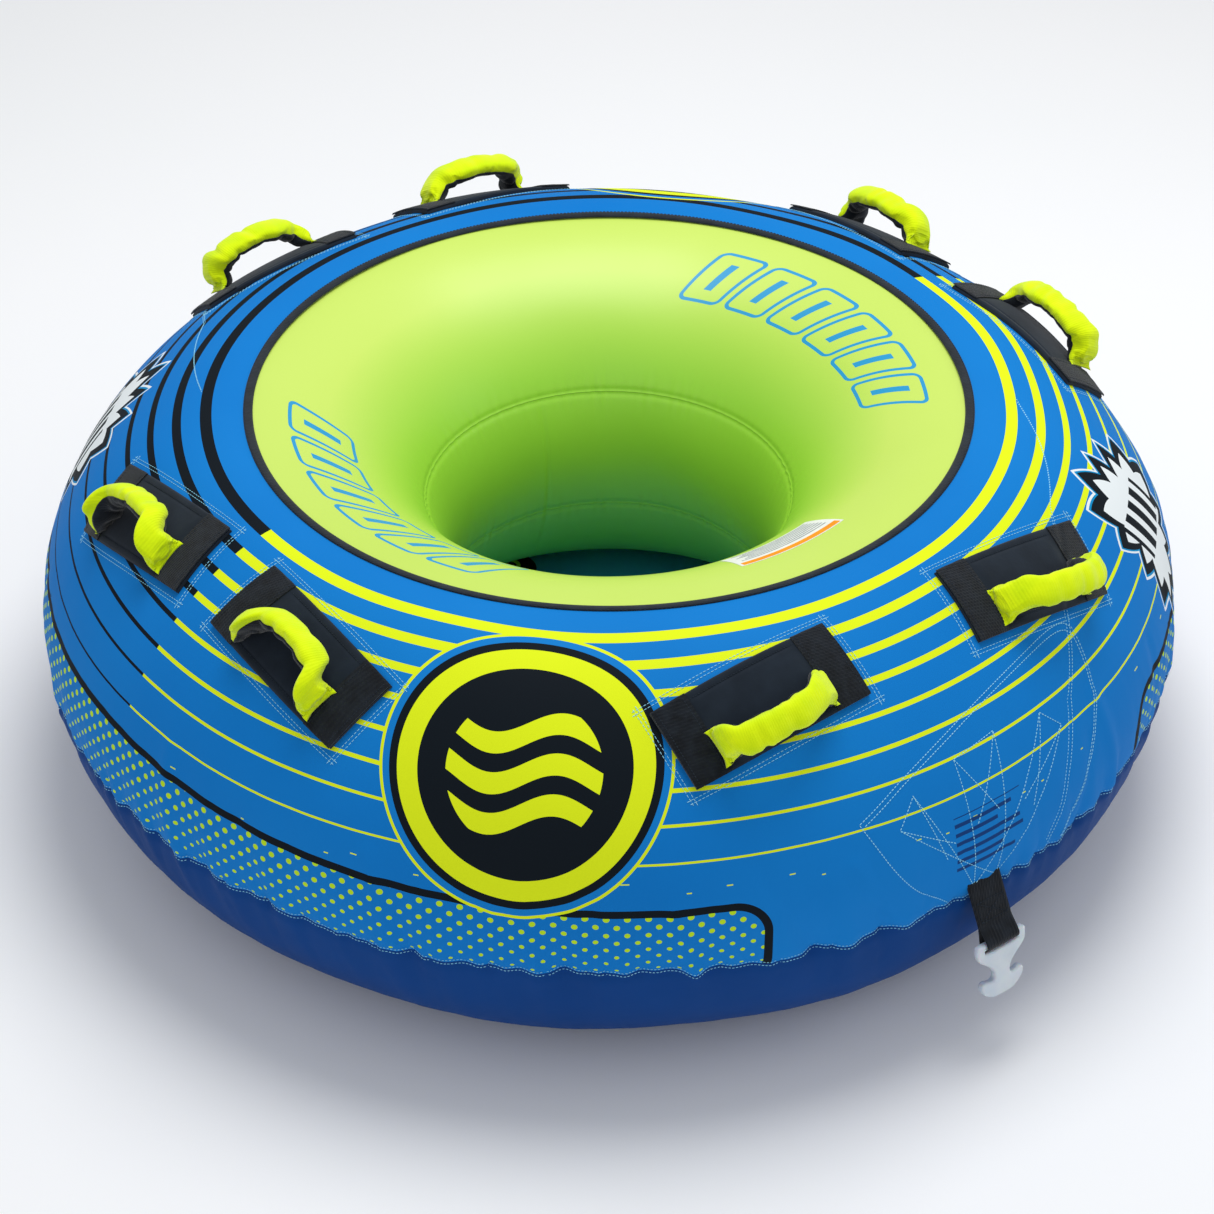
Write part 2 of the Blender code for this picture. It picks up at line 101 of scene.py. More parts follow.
# ---- surfaces ------------------------------------------------------------------------------------
def section_radius(angle):
    """Distance from the section's middle to its skin, at angles above the outward direction."""
    across = np.cos(angle)
    up = np.sin(angle)
    outside = across >= 0.0
    half = np.where(outside, OUTER_RADIUS - CROWN_RADIUS,
                    CROWN_RADIUS - WELL_RADIUS + FABRIC + LINING_GAP)
    power = np.where(outside, np.where(up >= 0.0, 1.73, 2.38), 2.0)
    wide = np.abs(across / half) ** power
    tall = np.abs(up / (TUBE_HEIGHT / 2.0)) ** power
    return (wide + tall) ** (-1.0 / power)


def section_at(angle):
    reach = section_radius(angle)
    return CROWN_RADIUS + reach * np.cos(angle), TUBE_HEIGHT / 2.0 + reach * np.sin(angle)


def turned(azimuth, degrees, offset):
    """Points of the turned surface, moved out of it by offset, as an array of x, y, z."""
    azimuth, degrees, offset = np.broadcast_arrays(
        np.asarray(azimuth, float), np.asarray(degrees, float), np.asarray(offset, float))
    angle = np.radians(degrees)
    r0, z0 = section_at(angle - 0.004)
    r1, z1 = section_at(angle + 0.004)
    radius, height = section_at(angle)
    length = np.hypot(r1 - r0, z1 - z0)
    radius = radius + (z1 - z0) / length * offset
    height = height - (r1 - r0) / length * offset
    turn = np.radians(azimuth)
    return np.stack([radius * np.cos(turn), radius * np.sin(turn), height], -1)


def swell(value, start, end):
    """0 before start, 1 after end, and smooth between them."""
    t = np.clip((value - start) / (end - start), 0.0, 1.0)
    return t * t * (3.0 - 2.0 * t)


def waves(turn, low, high, count, seed):
    """A random wave of about -1 to 1 that closes on itself around the tube."""
    rng = np.random.default_rng(seed)
    total = 0.0
    for _ in range(count):
        total = total + np.sin(turn * rng.integers(low, high) + rng.uniform(0.0, 2.0 * math.pi))
    return total / math.sqrt(count) / 1.1


def fold(azimuth, rise, start, end, width, depth):
    """A soft straight fold between two points given as (azimuth, metres above the seam)."""
    x = np.radians((azimuth - start[0] + 180.0) % 360.0 - 180.0) * 0.85
    y = rise - start[1]
    dx = math.radians(end[0] - start[0]) * 0.85
    dy = end[1] - start[1]
    t = np.clip((x * dx + y * dy) / (dx * dx + dy * dy), 0.0, 1.0)
    away = np.hypot(x - t * dx, y - t * dy)
    return depth * 1.5 * np.exp(-(away / width) ** 2) * (1.0 - 0.5 * t)


FOLDS = (
    (-70.0, 0.00, -72.0, 0.20, 0.012, 0.0040), (-76.0, 0.00, -74.5, 0.15, 0.010, -0.0030),
    (-99.0, 0.00, -104.0, 0.14, 0.012, 0.0035), (-108.0, 0.00, -113.0, 0.17, 0.013, -0.0028),
    (-119.0, 0.00, -121.0, 0.12, 0.010, 0.0030), (-127.0, 0.00, -129.0, 0.15, 0.012, -0.0026),
    (-136.0, 0.00, -137.0, 0.11, 0.009, 0.0026), (-146.0, 0.00, -149.0, 0.16, 0.013, 0.0026),
    (-160.0, 0.00, -163.0, 0.14, 0.012, -0.0026), (-172.0, 0.00, -173.0, 0.18, 0.013, 0.0026),
    (-60.0, 0.00, -59.0, 0.17, 0.013, -0.0028), (-50.0, 0.00, -49.0, 0.15, 0.012, 0.0030),
    (-38.0, 0.00, -36.0, 0.14, 0.012, -0.0026), (-25.0, 0.00, -24.0, 0.16, 0.013, 0.0026),
    (20.0, 0.00, 22.0, 0.16, 0.013, 0.0026), (60.0, 0.00, 62.0, 0.16, 0.013, -0.0026),
    (110.0, 0.00, 112.0, 0.16, 0.013, 0.0026), (150.0, 0.00, 152.0, 0.16, 0.013, -0.0026))


def relief(azimuth, degrees):
    """How far the sewn cover stands proud of the turned surface."""
    turn = np.radians(azimuth)
    rise = np.radians(degrees - LOWER_SEAM) * 0.315
    away = np.abs(rise)
    gathers = waves(turn + rise * 0.10, 100, 175, 12, 11) * 0.0026 * np.exp(-away / 0.026)
    pleats = waves(turn + rise * 0.22, 42, 80, 10, 12) * 0.0044 * np.exp(-away / 0.066)
    broad = waves(turn + rise * 1.1, 3, 13, 8, 13) * 0.0016
    groove = -0.0045 * np.exp(-(rise / 0.009) ** 2)
    ridge = 1.0 - np.minimum(np.abs(waves(turn + rise * 0.15, 26, 44, 7, 14)), 1.0)
    total = gathers + pleats + broad + groove - 0.0046 * ridge ** 5 * np.exp(-away / 0.075)
    for a0, h0, a1, h1, width, depth in FOLDS:
        total = total + fold(azimuth, rise, (a0, h0), (a1, h1), width, depth)
    for (a0, p0), (a1, p1) in zip(SIDE_SEAM, SIDE_SEAM[1:]):
        h0 = math.radians(p0 - LOWER_SEAM) * 0.315
        h1 = math.radians(p1 - LOWER_SEAM) * 0.315
        total = total + fold(azimuth, rise, (a0, h0), (a1, h1), 0.005, -0.0010)
    hold = swell(degrees, -84.0, -55.0) * (1.0 - swell(degrees, 82.0, 96.0))
    return total * hold


def drift(azimuth, degrees):
    """How far the gathered seam wanders up and down, in degrees of the section."""
    rise = np.radians(degrees - LOWER_SEAM) * 0.315
    turn = np.radians(azimuth)
    scallops = np.abs(waves(turn, 48, 62, 5, 21)) - 0.45
    return scallops * 0.45 * np.exp(-(rise / 0.040) ** 2)


def skin(azimuth, degrees, offset=0.0):
    """Points on the cover, with its gathers and folds."""
    azimuth = np.asarray(azimuth, float)
    degrees = np.asarray(degrees, float)
    return turned(azimuth, degrees + drift(azimuth, degrees), offset + relief(azimuth, degrees))


def film(azimuth, degrees, offset=0.0):
    """Points on the bladder, which fills out to the cover's edge where it shows."""
    azimuth = np.asarray(azimuth, float)
    degrees = np.asarray(degrees, float)
    turn = np.radians(azimuth)
    total = waves(turn + np.radians(degrees) * 0.8, 2, 9, 6, 31) * 0.0013
    for weld in (UPPER_WELD, LOWER_WELD):
        away = np.abs(np.radians(degrees - weld)) * 0.31
        total = total + waves(turn, 60, 120, 9, 32) * 0.0008 * np.exp(-away / 0.018)
        total = total - 0.0022 * np.exp(-(away / 0.006) ** 2)
        total = total + 0.0016 * np.exp(-(away / 0.0022) ** 2)
    for centre in (76.7, 256.7):
        side = np.radians((azimuth - centre + 180.0) % 360.0 - 180.0) * 0.27
        wall = swell(degrees, 150.0, 162.0) * (1.0 - swell(degrees, 205.0, 220.0))
        total = total - 0.0020 * np.exp(-(side / 0.0035) ** 2) * wall
    shown = swell(degrees, 86.0, 93.0) * (1.0 - swell(degrees, 268.0, 285.0))
    tuck = -0.0018 * shown - 0.0170 * (1.0 - shown)
    return turned(azimuth, degrees, offset + total * shown + tuck)


# ---- shader helpers ------------------------------------------------------------------------------
def rgb(red, green, blue):
    """A display colour of 0 to 255 as the linear colour that shaders take."""
    return tuple((c / 255.0 / 12.92) if c <= 10 else ((c / 255.0 + 0.055) / 1.055) ** 2.4
                 for c in (red, green, blue)) + (1.0,)


class Field:
    """A number that varies over a surface, worked out by shader nodes."""

    def __init__(self, tree, socket):
        self.tree = tree
        self.socket = socket

    def calc(self, operation, *others):
        node = self.tree.nodes.new("ShaderNodeMath")
        node.operation = operation
        for slot, value in zip(node.inputs, (self,) + others):
            if isinstance(value, Field):
                self.tree.links.new(value.socket, slot)
            else:
                slot.default_value = value
        return Field(self.tree, node.outputs[0])

    def __add__(self, other):
        return self.calc("ADD", other)

    def __sub__(self, other):
        return self.calc("SUBTRACT", other)

    def __mul__(self, other):
        return self.calc("MULTIPLY", other)

    def __truediv__(self, other):
        return self.calc("DIVIDE", other)

    def near(self, value, reach):
        return self.calc("COMPARE", value, reach)

    def below(self, value):
        return self.calc("LESS_THAN", value)

    def above(self, value):
        return self.calc("GREATER_THAN", value)

    def wrap(self, period):
        """The value folded into -period/2 to period/2."""
        return (self + period / 2.0).calc("FLOORED_MODULO", period) - period / 2.0

    def fraction(self):
        return self.calc("FRACT")

    def size(self):
        return self.calc("ABSOLUTE")

    def sine(self):
        return self.calc("SINE")

    def most(self, other):
        return self.calc("MAXIMUM", other)

    def least(self, other):
        return self.calc("MINIMUM", other)


def length_of(a, b):
    return (a * a + b * b).calc("SQRT")


class Surface:
    """One material: its nodes, its coordinates on the tube, and its paint and bump."""

    def __init__(self, name, roughness, sheen=0.0, coat=0.0, metallic=0.0):
        self.material = bpy.data.materials.new(name)
        self.material.use_nodes = True
        self.tree = self.material.node_tree
        self.shader = self.tree.nodes["Principled BSDF"]
        self.shader.inputs["Roughness"].default_value = roughness
        self.shader.inputs["Metallic"].default_value = metallic
        self.shader.inputs["Specular IOR Level"].default_value = 0.5 if coat or metallic else 0.05
        if sheen:
            self.shader.inputs["Sheen Weight"].default_value = sheen
            self.shader.inputs["Sheen Roughness"].default_value = 0.5
        if coat:
            self.shader.inputs["Coat Weight"].default_value = coat
            self.shader.inputs["Coat Roughness"].default_value = 0.25
        place = self.tree.nodes.new("ShaderNodeTexCoord")
        split = self.tree.nodes.new("ShaderNodeSeparateXYZ")
        self.tree.links.new(place.outputs["Object"], split.inputs[0])
        self.place = place.outputs["Object"]
        self.x, self.y, self.z = (Field(self.tree, split.outputs[i]) for i in range(3))
        self.colour = None

    def polar(self):
        """Distance from the axis, azimuth and section angle, the angles in degrees."""
        radius = length_of(self.x, self.y)
        azimuth = self.y.calc("ARCTAN2", self.x) * math.degrees(1.0)
        angle = (self.z - TUBE_HEIGHT / 2.0).calc("ARCTAN2", radius - CROWN_RADIUS)
        return radius, azimuth, angle * math.degrees(1.0)

    def noise(self, scale, detail=2.0):
        node = self.tree.nodes.new("ShaderNodeTexNoise")
        node.inputs["Scale"].default_value = scale
        node.inputs["Detail"].default_value = detail
        self.tree.links.new(self.place, node.inputs["Vector"])
        return Field(self.tree, node.outputs["Fac"])

    def random(self, value):
        node = self.tree.nodes.new("ShaderNodeTexWhiteNoise")
        node.noise_dimensions = "1D"
        self.tree.links.new(value.socket, node.inputs["W"])
        return Field(self.tree, node.outputs["Value"])

    def base(self, low, high, scale):
        """Ground colour, moving between two close colours."""
        spread = (self.noise(scale, 3.0) - 0.35) * 3.0
        self.colour = self.blend(spread, low, high)
        return self

    def blend(self, mask, low, high):
        node = self.tree.nodes.new("ShaderNodeMix")
        node.data_type = "RGBA"
        self.tree.links.new(mask.socket, node.inputs[0])
        for slot, value in ((node.inputs[6], low), (node.inputs[7], high)):
            if isinstance(value, tuple):
                slot.default_value = value
            else:
                self.tree.links.new(value, slot)
        return node.outputs[2]

    def paint(self, mask, colour):
        self.colour = self.blend(mask, self.colour, colour)

    def bump(self, height, distance, strength=1.0):
        node = self.tree.nodes.new("ShaderNodeBump")
        node.inputs["Distance"].default_value = distance
        node.inputs["Strength"].default_value = strength
        self.tree.links.new(height.socket, node.inputs["Height"])
        self.tree.links.new(node.outputs[0], self.shader.inputs["Normal"])

    def rough(self, low, high, scale):
        value = (self.noise(scale, 2.0) * (high - low)) + low
        self.tree.links.new(value.socket, self.shader.inputs["Roughness"])

    def done(self):
        self.tree.links.new(self.colour, self.shader.inputs["Base Color"])
        return self.material


BLUE = rgb(20, 124, 203)
BLUE_DEEP = rgb(15, 117, 197)
LIME_PRINT = rgb(224, 240, 30)
BLACK_PRINT = rgb(18, 25, 32)
WHITE_PRINT = rgb(232, 238, 240)


def weave(across, along, pitch):
    """Height of a plain weave in two directions along the fabric, in metres."""
    turns = 2.0 * math.pi / pitch
    return ((across * turns).sine() * (along * turns).sine()) * 0.5 + 0.5


def make_cover_print():
    """Blue fabric with stripes, two badges, two bursts and a dotted band."""
    s = Surface("cover_print", 0.5)
    s.base(BLUE, BLUE_DEEP, 2.2)
    radius, azimuth, angle = s.polar()
    around = azimuth * math.radians(0.86)
    up = angle * math.radians(0.32)
    lime_half = azimuth.below(-1.5)
    stripes = None
    for centre, width in STRIPES:
        reach = math.degrees(width / 2.0 / float(section_radius(math.radians(centre))))
        line = angle.near(centre, reach)
        stripes = line if stripes is None else stripes.most(line)
    cell = (azimuth / 3.1).calc("FLOOR")
    luck = s.random(cell)
    chance = s.random(cell + 91.0)
    within = (azimuth / 3.1).fraction()
    dash = within.near(luck * 0.5 + 0.2, chance * 0.10 + 0.05)
    dash = dash * (angle - (chance * 5.5 + 13.0)).size().below(0.17) * luck.above(0.42)
    marks = stripes.most(dash)
    s.paint(marks, BLACK_PRINT)
    s.paint(marks * lime_half, LIME_PRINT)

    # dotted band above the lower seam, open at the tow point
    side = (azimuth - TOW_GAP_AZIMUTH).wrap(360.0).size() - TOW_GAP_HALF
    top = ((side - 22.0) / 50.0).most(0.0).least(1.0) * 5.5 + 10.0
    corner = 0.055
    qx = (side * math.radians(0.87)) * -1.0 + corner
    qy = ((top - angle) * math.radians(0.32)) * -1.0 + corner
    outside = length_of(qx.most(0.0), qy.most(0.0)) + qx.most(qy).least(0.0) - corner
    pitch = 0.028
    first = ((around + up) / pitch).fraction() - 0.5
    second = ((around - up) / pitch).fraction() - 0.5
    spot = length_of(first, second) * (pitch / math.sqrt(2.0))
    grown = ((angle - LOWER_SEAM) / 21.0).least(1.0) * 0.0021 + 0.0026
    dots = (spot - grown).below(0.0) * outside.below(-0.012)
    s.paint(dots, rgb(190, 226, 40))
    s.paint(outside.below(0.0) * outside.above(-0.012), BLACK_PRINT)

    # burst with speed bars
    a = (azimuth - BURST_AZIMUTH).wrap(180.0) * math.radians(1.25) * radius
    v = (angle - BURST_ANGLE) * math.radians(0.32)
    ray = v.calc("ARCTAN2", a)
    reach = length_of(a, v)
    teeth = ((ray / (2.0 * math.pi) * 13.0).fraction() - 0.5).size() * 0.085
    lobes = (ray * 3.0 + 1.0).sine() * 0.020
    edge = teeth + lobes + 0.118
    s.paint((reach - edge - 0.016).below(0.0), WHITE_PRINT)
    s.paint((reach - edge - 0.009).below(0.0), rgb(5, 140, 200))
    s.paint((reach - edge - 0.003).below(0.0), BLACK_PRINT)
    s.paint((reach - edge * 0.82).below(0.0), WHITE_PRINT)
    slant = a + v * 0.45
    bars = ((slant / 0.044).fraction() - 0.5).size().above(0.22)
    s.paint(bars * v.size().below(0.048) * slant.size().below(0.088), BLACK_PRINT)

    # round badge with three waves
    a = (azimuth - BADGE_AZIMUTH).wrap(180.0) * math.radians(1.0) * radius
    v = (angle - BADGE_ANGLE) * math.radians(0.30)
    reach = length_of(a, v)
    for size, colour in ((0.2045, LIME_PRINT), (0.2000, BLUE), (0.1900, BLACK_PRINT),
                         (0.1785, LIME_PRINT), (0.1485, BLACK_PRINT)):
        s.paint(reach.below(size), colour)
    wavy = v - (a * 34.0).sine() * 0.017
    band = (wavy / 0.056 + 0.5).fraction() - 0.5
    s.paint(band.size().below(0.27) * wavy.size().below(0.083) * reach.below(0.108), LIME_PRINT)

    # a block of plain bars by the tow point
    line = angle / 2.7
    row = line.calc("FLOOR")
    ragged = s.random(row) * 3.4 - 88.4
    block = line.fraction().below(0.42) * azimuth.above(-93.4) * (azimuth - ragged).below(0.0)
    s.paint(block * angle.near(7.5, 9.0), rgb(22, 62, 122))

    s.bump(weave(around, up, 0.0022) * 0.25 + s.noise(38.0, 3.0), 0.0006, 0.35)
    s.rough(0.55, 0.70, 3.0)
    return s.done()


def make_plain_fabric(name, low, high):
    s = Surface(name, 0.55)
    s.base(low, high, 3.0)
    _, azimuth, angle = s.polar()
    cloth = weave(azimuth * math.radians(0.86), angle * math.radians(0.32), 0.0022)
    s.bump(cloth * 0.25 + s.noise(38.0, 3.0), 0.0006, 0.35)
    return s.done()


def make_floor_fabric():
    s = Surface("floor_fabric", 0.5)
    s.base(rgb(64, 166, 238), rgb(52, 152, 228), 5.0)
    s.bump(weave(s.x, s.y, 0.0022) * 0.3 + s.noise(30.0, 3.0), 0.0007, 0.4)
    return s.done()


def make_vinyl():
    """Satin lime vinyl, printed with two rows of outlined blocks, and painted greener deep in the
    well as bounce light.
    """
    s = Surface("lime_vinyl", 0.42, coat=0.05)
    s.base(rgb(199, 226, 96), rgb(193, 222, 86), 2.0)
    radius, azimuth, angle = s.polar()
    # painted bounce light: the lime turns greener deeper in the well, where the two lime walls
    # light each other
    painted_bounce_tint = ((radius - 0.43) / -0.13).most(0.0).least(1.0)
    s.paint(painted_bounce_tint, rgb(158, 216, 60))
    v = (angle - 117.0) * math.radians(0.33)
    turn = azimuth.wrap(180.0) - v * 62.0
    q = turn / 11.5
    u = (q.fraction() - 0.5) * 0.084
    qx = u.size() - 0.0375 + 0.014
    qy = v.size() - 0.056 + 0.014
    outside = length_of(qx.most(0.0), qy.most(0.0)) + qx.most(qy).least(0.0) - 0.014
    rows = turn.size().below(34.5)
    ring = outside.below(0.0) * outside.above(-0.0062)
    bar = u.size().below(0.0065) * v.size().below(0.030)
    mark = ring.most(bar) * rows
    s.paint(mark, rgb(5, 150, 205))
    s.bump(s.noise(9.0, 4.0) + s.noise(420.0, 2.0) * 0.05, 0.0016, 0.25)
    s.rough(0.34, 0.50, 4.0)
    return s.done()


def make_cloth_like(name, low, high, roughness, scale, bump, sheen=0.0, coat=0.0, ribs=0.0):
    """Cloth, rubber or plastic with its own grain; ribs is a weave pitch in metres."""
    s = Surface(name, roughness, sheen=sheen, coat=coat)
    s.base(low, high, scale)
    grain = s.noise(scale * 6.0, 3.0)
    if ribs:
        turns = 2.0 * math.pi / ribs
        rows = ((s.x + s.y * 0.6 + s.z * 0.4) * turns).sine() * ((s.z + s.x * 0.5) * turns).sine()
        grain = grain + rows * 0.5
    s.bump(grain, bump, 0.6)
    return s.done()


def make_grip_fabric():
    """Bright sleeve fabric with fine gathers across it."""
    s = Surface("grip_fabric", 0.6, sheen=0.2)
    s.base(rgb(226, 248, 6), rgb(206, 236, 4), 26.0)
    node = s.tree.nodes.new("ShaderNodeAttribute")
    node.attribute_name = "along"
    along = Field(s.tree, node.outputs["Fac"])
    gathers = (along * (2.0 * math.pi / 0.0032)).sine() * 0.25
    s.bump(gathers + s.noise(120.0, 3.0), 0.0009, 0.5)
    return s.done()


def make_hook_plastic():
    s = Surface("hook_plastic", 0.32, coat=0.2)
    s.base(rgb(232, 240, 247), rgb(218, 230, 241), 30.0)
    s.shader.inputs["Transmission Weight"].default_value = 0.25
    s.shader.inputs["Subsurface Weight"].default_value = 0.3
    s.shader.inputs["Subsurface Scale"].default_value = 0.01
    s.bump(s.noise(160.0, 3.0), 0.0003, 0.4)
    return s.done()


def make_metal():
    s = Surface("zipper_metal", 0.32, metallic=1.0)
    s.base(rgb(150, 152, 158), rgb(120, 122, 128), 60.0)
    s.bump(s.noise(900.0, 2.0), 0.0002, 0.4)
    return s.done()


COVER_PRINT = make_cover_print()
# darker navy than the top print below the seam: partly the fabric's own colour, partly painted
# shade for the underside
LOWER_FABRIC_SHADED = make_plain_fabric("lower_fabric_shaded", rgb(16, 66, 134), rgb(14, 60, 124))
FLOOR_FABRIC = make_floor_fabric()
VINYL = make_vinyl()
BINDING = make_cloth_like("binding_tape", rgb(26, 33, 40), rgb(34, 42, 50), 0.75, 40.0, 0.0006,
                          sheen=0.2, ribs=0.003)
NEOPRENE = make_cloth_like("pad_neoprene", rgb(25, 33, 43), rgb(31, 40, 51), 0.78, 24.0, 0.0004,
                           sheen=0.15)
WEB_BLACK = make_cloth_like("black_webbing", rgb(16, 20, 26), rgb(27, 33, 41), 0.8, 60.0, 0.0007,
                            sheen=0.25, ribs=0.0026)
GRIP_FABRIC = make_grip_fabric()
THREAD = make_cloth_like("blue_thread", rgb(140, 216, 245), rgb(170, 228, 248), 0.6, 200.0, 0.0002)
BLACK_THREAD = make_cloth_like("black_thread", rgb(38, 46, 56), rgb(52, 60, 70), 0.7, 200.0, 0.0002)
HOOK_PLASTIC = make_hook_plastic()
RUBBER = make_cloth_like("valve_rubber", rgb(18, 20, 22), rgb(28, 30, 33), 0.45, 40.0, 0.0004)
CAP_PLASTIC = make_cloth_like("cap_plastic", rgb(190, 226, 40), rgb(178, 214, 34), 0.4, 40.0,
                              0.0003, coat=0.2)
CAP_DARK = make_cloth_like("cap_dark", rgb(30, 58, 74), rgb(24, 48, 62), 0.45, 40.0, 0.0003)
ZIP_TAPE = make_cloth_like("zipper_tape", rgb(20, 24, 30), rgb(28, 32, 40), 0.8, 80.0, 0.0006,
                           ribs=0.003)
ZIP_METAL = make_metal()
LABEL_WHITE = make_cloth_like("label_white", rgb(236, 238, 232), rgb(226, 230, 224), 0.5, 60.0,
                              0.0002)
LABEL_GREY = make_cloth_like("label_grey", rgb(170, 176, 176), rgb(150, 158, 160), 0.5, 60.0,
                             0.0002)
LABEL_ORANGE = make_cloth_like("label_orange", rgb(250, 160, 40), rgb(240, 148, 34), 0.5, 60.0,
                               0.0002)


# ---- mesh helpers --------------------------------------------------------------------------------
def quads(rows, columns, closed=False, start=0):
    """Faces of a grid of points that is rows by columns, closed across the columns if asked."""
    last = columns if closed else columns - 1
    i, j = np.meshgrid(np.arange(rows - 1), np.arange(last), indexing="ij")
    k = (j + 1) % columns
    faces = np.stack([i * columns + j, i * columns + k, (i + 1) * columns + k,
                      (i + 1) * columns + j], -1)
    return faces.reshape(-1, 4) + start


def moved(matrix, points):
    """An array of points, each taken through a matrix."""
    flat = [list(matrix @ Vector(point)) for point in points.reshape(-1, 3)]
    return np.array(flat).reshape(points.shape)


def face_out(mesh, weld=0.0):
    """Turn every face outward, after joining points closer than weld."""
    bm = bmesh.new()
    bm.from_mesh(mesh)
    if weld:
        bmesh.ops.remove_doubles(bm, verts=bm.verts, dist=weld)
    bmesh.ops.recalc_face_normals(bm, faces=bm.faces)
    bm.to_mesh(mesh)
    bm.free()


def tube_faces(rows, columns, around):
    """Faces of a run of closed loops: joined end to start if around, or else capped."""
    faces = [tuple(map(int, face)) for face in quads(rows, columns, True)]
    last = (rows - 1) * columns
    if around:
        return faces + [(last + k, last + (k + 1) % columns, (k + 1) % columns, k)
                        for k in range(columns)]
    return faces + [tuple(range(columns)), tuple(range(last, last + columns))]


def axes_on(place, azimuth, angle, around_step, up_step):
    """Directions around, up and out of a surface at one place."""
    around = Vector(place(azimuth + around_step, angle, 0.0)
                    - place(azimuth - around_step, angle, 0.0)).normalized()
    upward = Vector(place(azimuth, angle + up_step, 0.0)
                    - place(azimuth, angle - up_step, 0.0)).normalized()
    return around, upward, around.cross(upward).normalized()


def matrix_of(place, axes):
    """A matrix that stands three axes at a place."""
    return Matrix.Translation(place) @ Matrix(axes).transposed().to_4x4()


def add_mesh(name, points, faces, material, body="tube", sharp=50.0):
    """A mesh piece in the part's frame, with its normals facing out."""
    mesh = bpy.data.meshes.new(name)
    mesh.from_pydata(np.asarray(points).tolist(), [], [list(map(int, f)) for f in faces])
    face_out(mesh)
    mesh.shade_smooth()
    if sharp:
        mesh.set_sharp_from_angle(angle=math.radians(sharp))
    mesh.materials.append(material)
    item = bpy.data.objects.new(name, mesh)
    bpy.context.scene.collection.objects.link(item)
    if body:
        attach(item, body)
    return item


def closed_sheet(top, base, wrapped=False):
    """Points and faces of a closed body between two equal grids of points."""
    rows, columns = top.shape[:2]
    count = rows * columns
    points = np.concatenate([top.reshape(-1, 3), base.reshape(-1, 3)])
    faces = [quads(rows, columns, wrapped), quads(rows, columns, wrapped, count)[:, ::-1]]
    last = columns if wrapped else columns - 1
    j = np.arange(last)
    k = (j + 1) % columns
    for row in (0, rows - 1):
        near, far = row * columns + j, row * columns + k
        faces.append(np.stack([near, far, far + count, near + count], -1))
    if not wrapped:
        i = np.arange(rows - 1) * columns
        for column in (0, columns - 1):
            low, high = i + column, i + column + columns
            faces.append(np.stack([low, high, high + count, low + count], -1))
    return points, np.concatenate(faces)


def shell(name, place, angles, low, high, material, steps=720):
    """A turned sheet over section angles, as a closed body."""
    azimuth = np.arange(steps) * 360.0 / steps
    grid_a, grid_p = np.meshgrid(azimuth, np.asarray(angles), indexing="xy")
    points, faces = closed_sheet(place(grid_a, grid_p, high), place(grid_a, grid_p, low), True)
    return add_mesh(name, points, faces, material)


def joined(parts):
    """Several (points, faces) as one."""
    start = 0
    all_points, all_faces = [], []
    for points, faces in parts:
        all_points.append(points)
        all_faces.extend([tuple(int(v) + start for v in face) for face in faces])
        start += len(points)
    return np.concatenate(all_points), all_faces


def normals_along(place, a, b, step=0.02):
    """Directions out of a surface at parameter pairs."""
    da = place(a + step, b) - place(a - step, b)
    db = place(a, b + step) - place(a, b - step)
    normal = np.cross(da, db)
    return normal / np.linalg.norm(normal, axis=-1, keepdims=True)


def resample(points, pitch):
    """Even stations along a polyline: places and directions."""
    gaps = np.linalg.norm(np.diff(points, axis=0), axis=1)
    along = np.concatenate([[0.0], np.cumsum(gaps)])
    count = max(2, int(along[-1] / pitch))
    marks = (np.arange(count) + 0.5) * along[-1] / count
    place = np.stack([np.interp(marks, along, points[:, k]) for k in range(3)], -1)
    ahead = np.stack([np.interp(marks + 0.0005, along, points[:, k]) for k in range(3)], -1)
    behind = np.stack([np.interp(marks - 0.0005, along, points[:, k]) for k in range(3)], -1)
    way = ahead - behind
    way /= np.linalg.norm(way, axis=1, keepdims=True) + 1e-12
    return place, way, marks, along


def stitch_run(points, normals, length=0.0042, pitch=0.0060, width=0.0011, height=0.0006):
    """Thread stitches along a polyline that lies on a surface."""
    place, way, marks, along = resample(points, pitch)
    normal = np.stack([np.interp(marks, along, normals[:, k]) for k in range(3)], -1)
    normal /= np.linalg.norm(normal, axis=1, keepdims=True)
    side = np.cross(normal, way)
    side /= np.linalg.norm(side, axis=1, keepdims=True)
    rings = []
    for reach, scale in ((-0.5, 0.35), (-0.3, 1.0), (0.3, 1.0), (0.5, 0.35)):
        centre = place + way * length * reach
        for x, z in ((-0.5, -0.2), (-0.35, 0.8), (0.35, 0.8), (0.5, -0.2)):
            rings.append(centre + side * width * x * scale + normal * height * z * scale)
    block = np.stack(rings, 1)
    local = []
    for ring in range(3):
        for k in range(4):
            m = (k + 1) % 4
            local.append((ring * 4 + k, ring * 4 + m, ring * 4 + 4 + m, ring * 4 + 4 + k))
    local.append((0, 3, 2, 1))
    local.append((12, 13, 14, 15))
    local = np.array(local)
    faces = (local[None] + (np.arange(len(place)) * 16)[:, None, None]).reshape(-1, 4)
    return block.reshape(-1, 3), faces


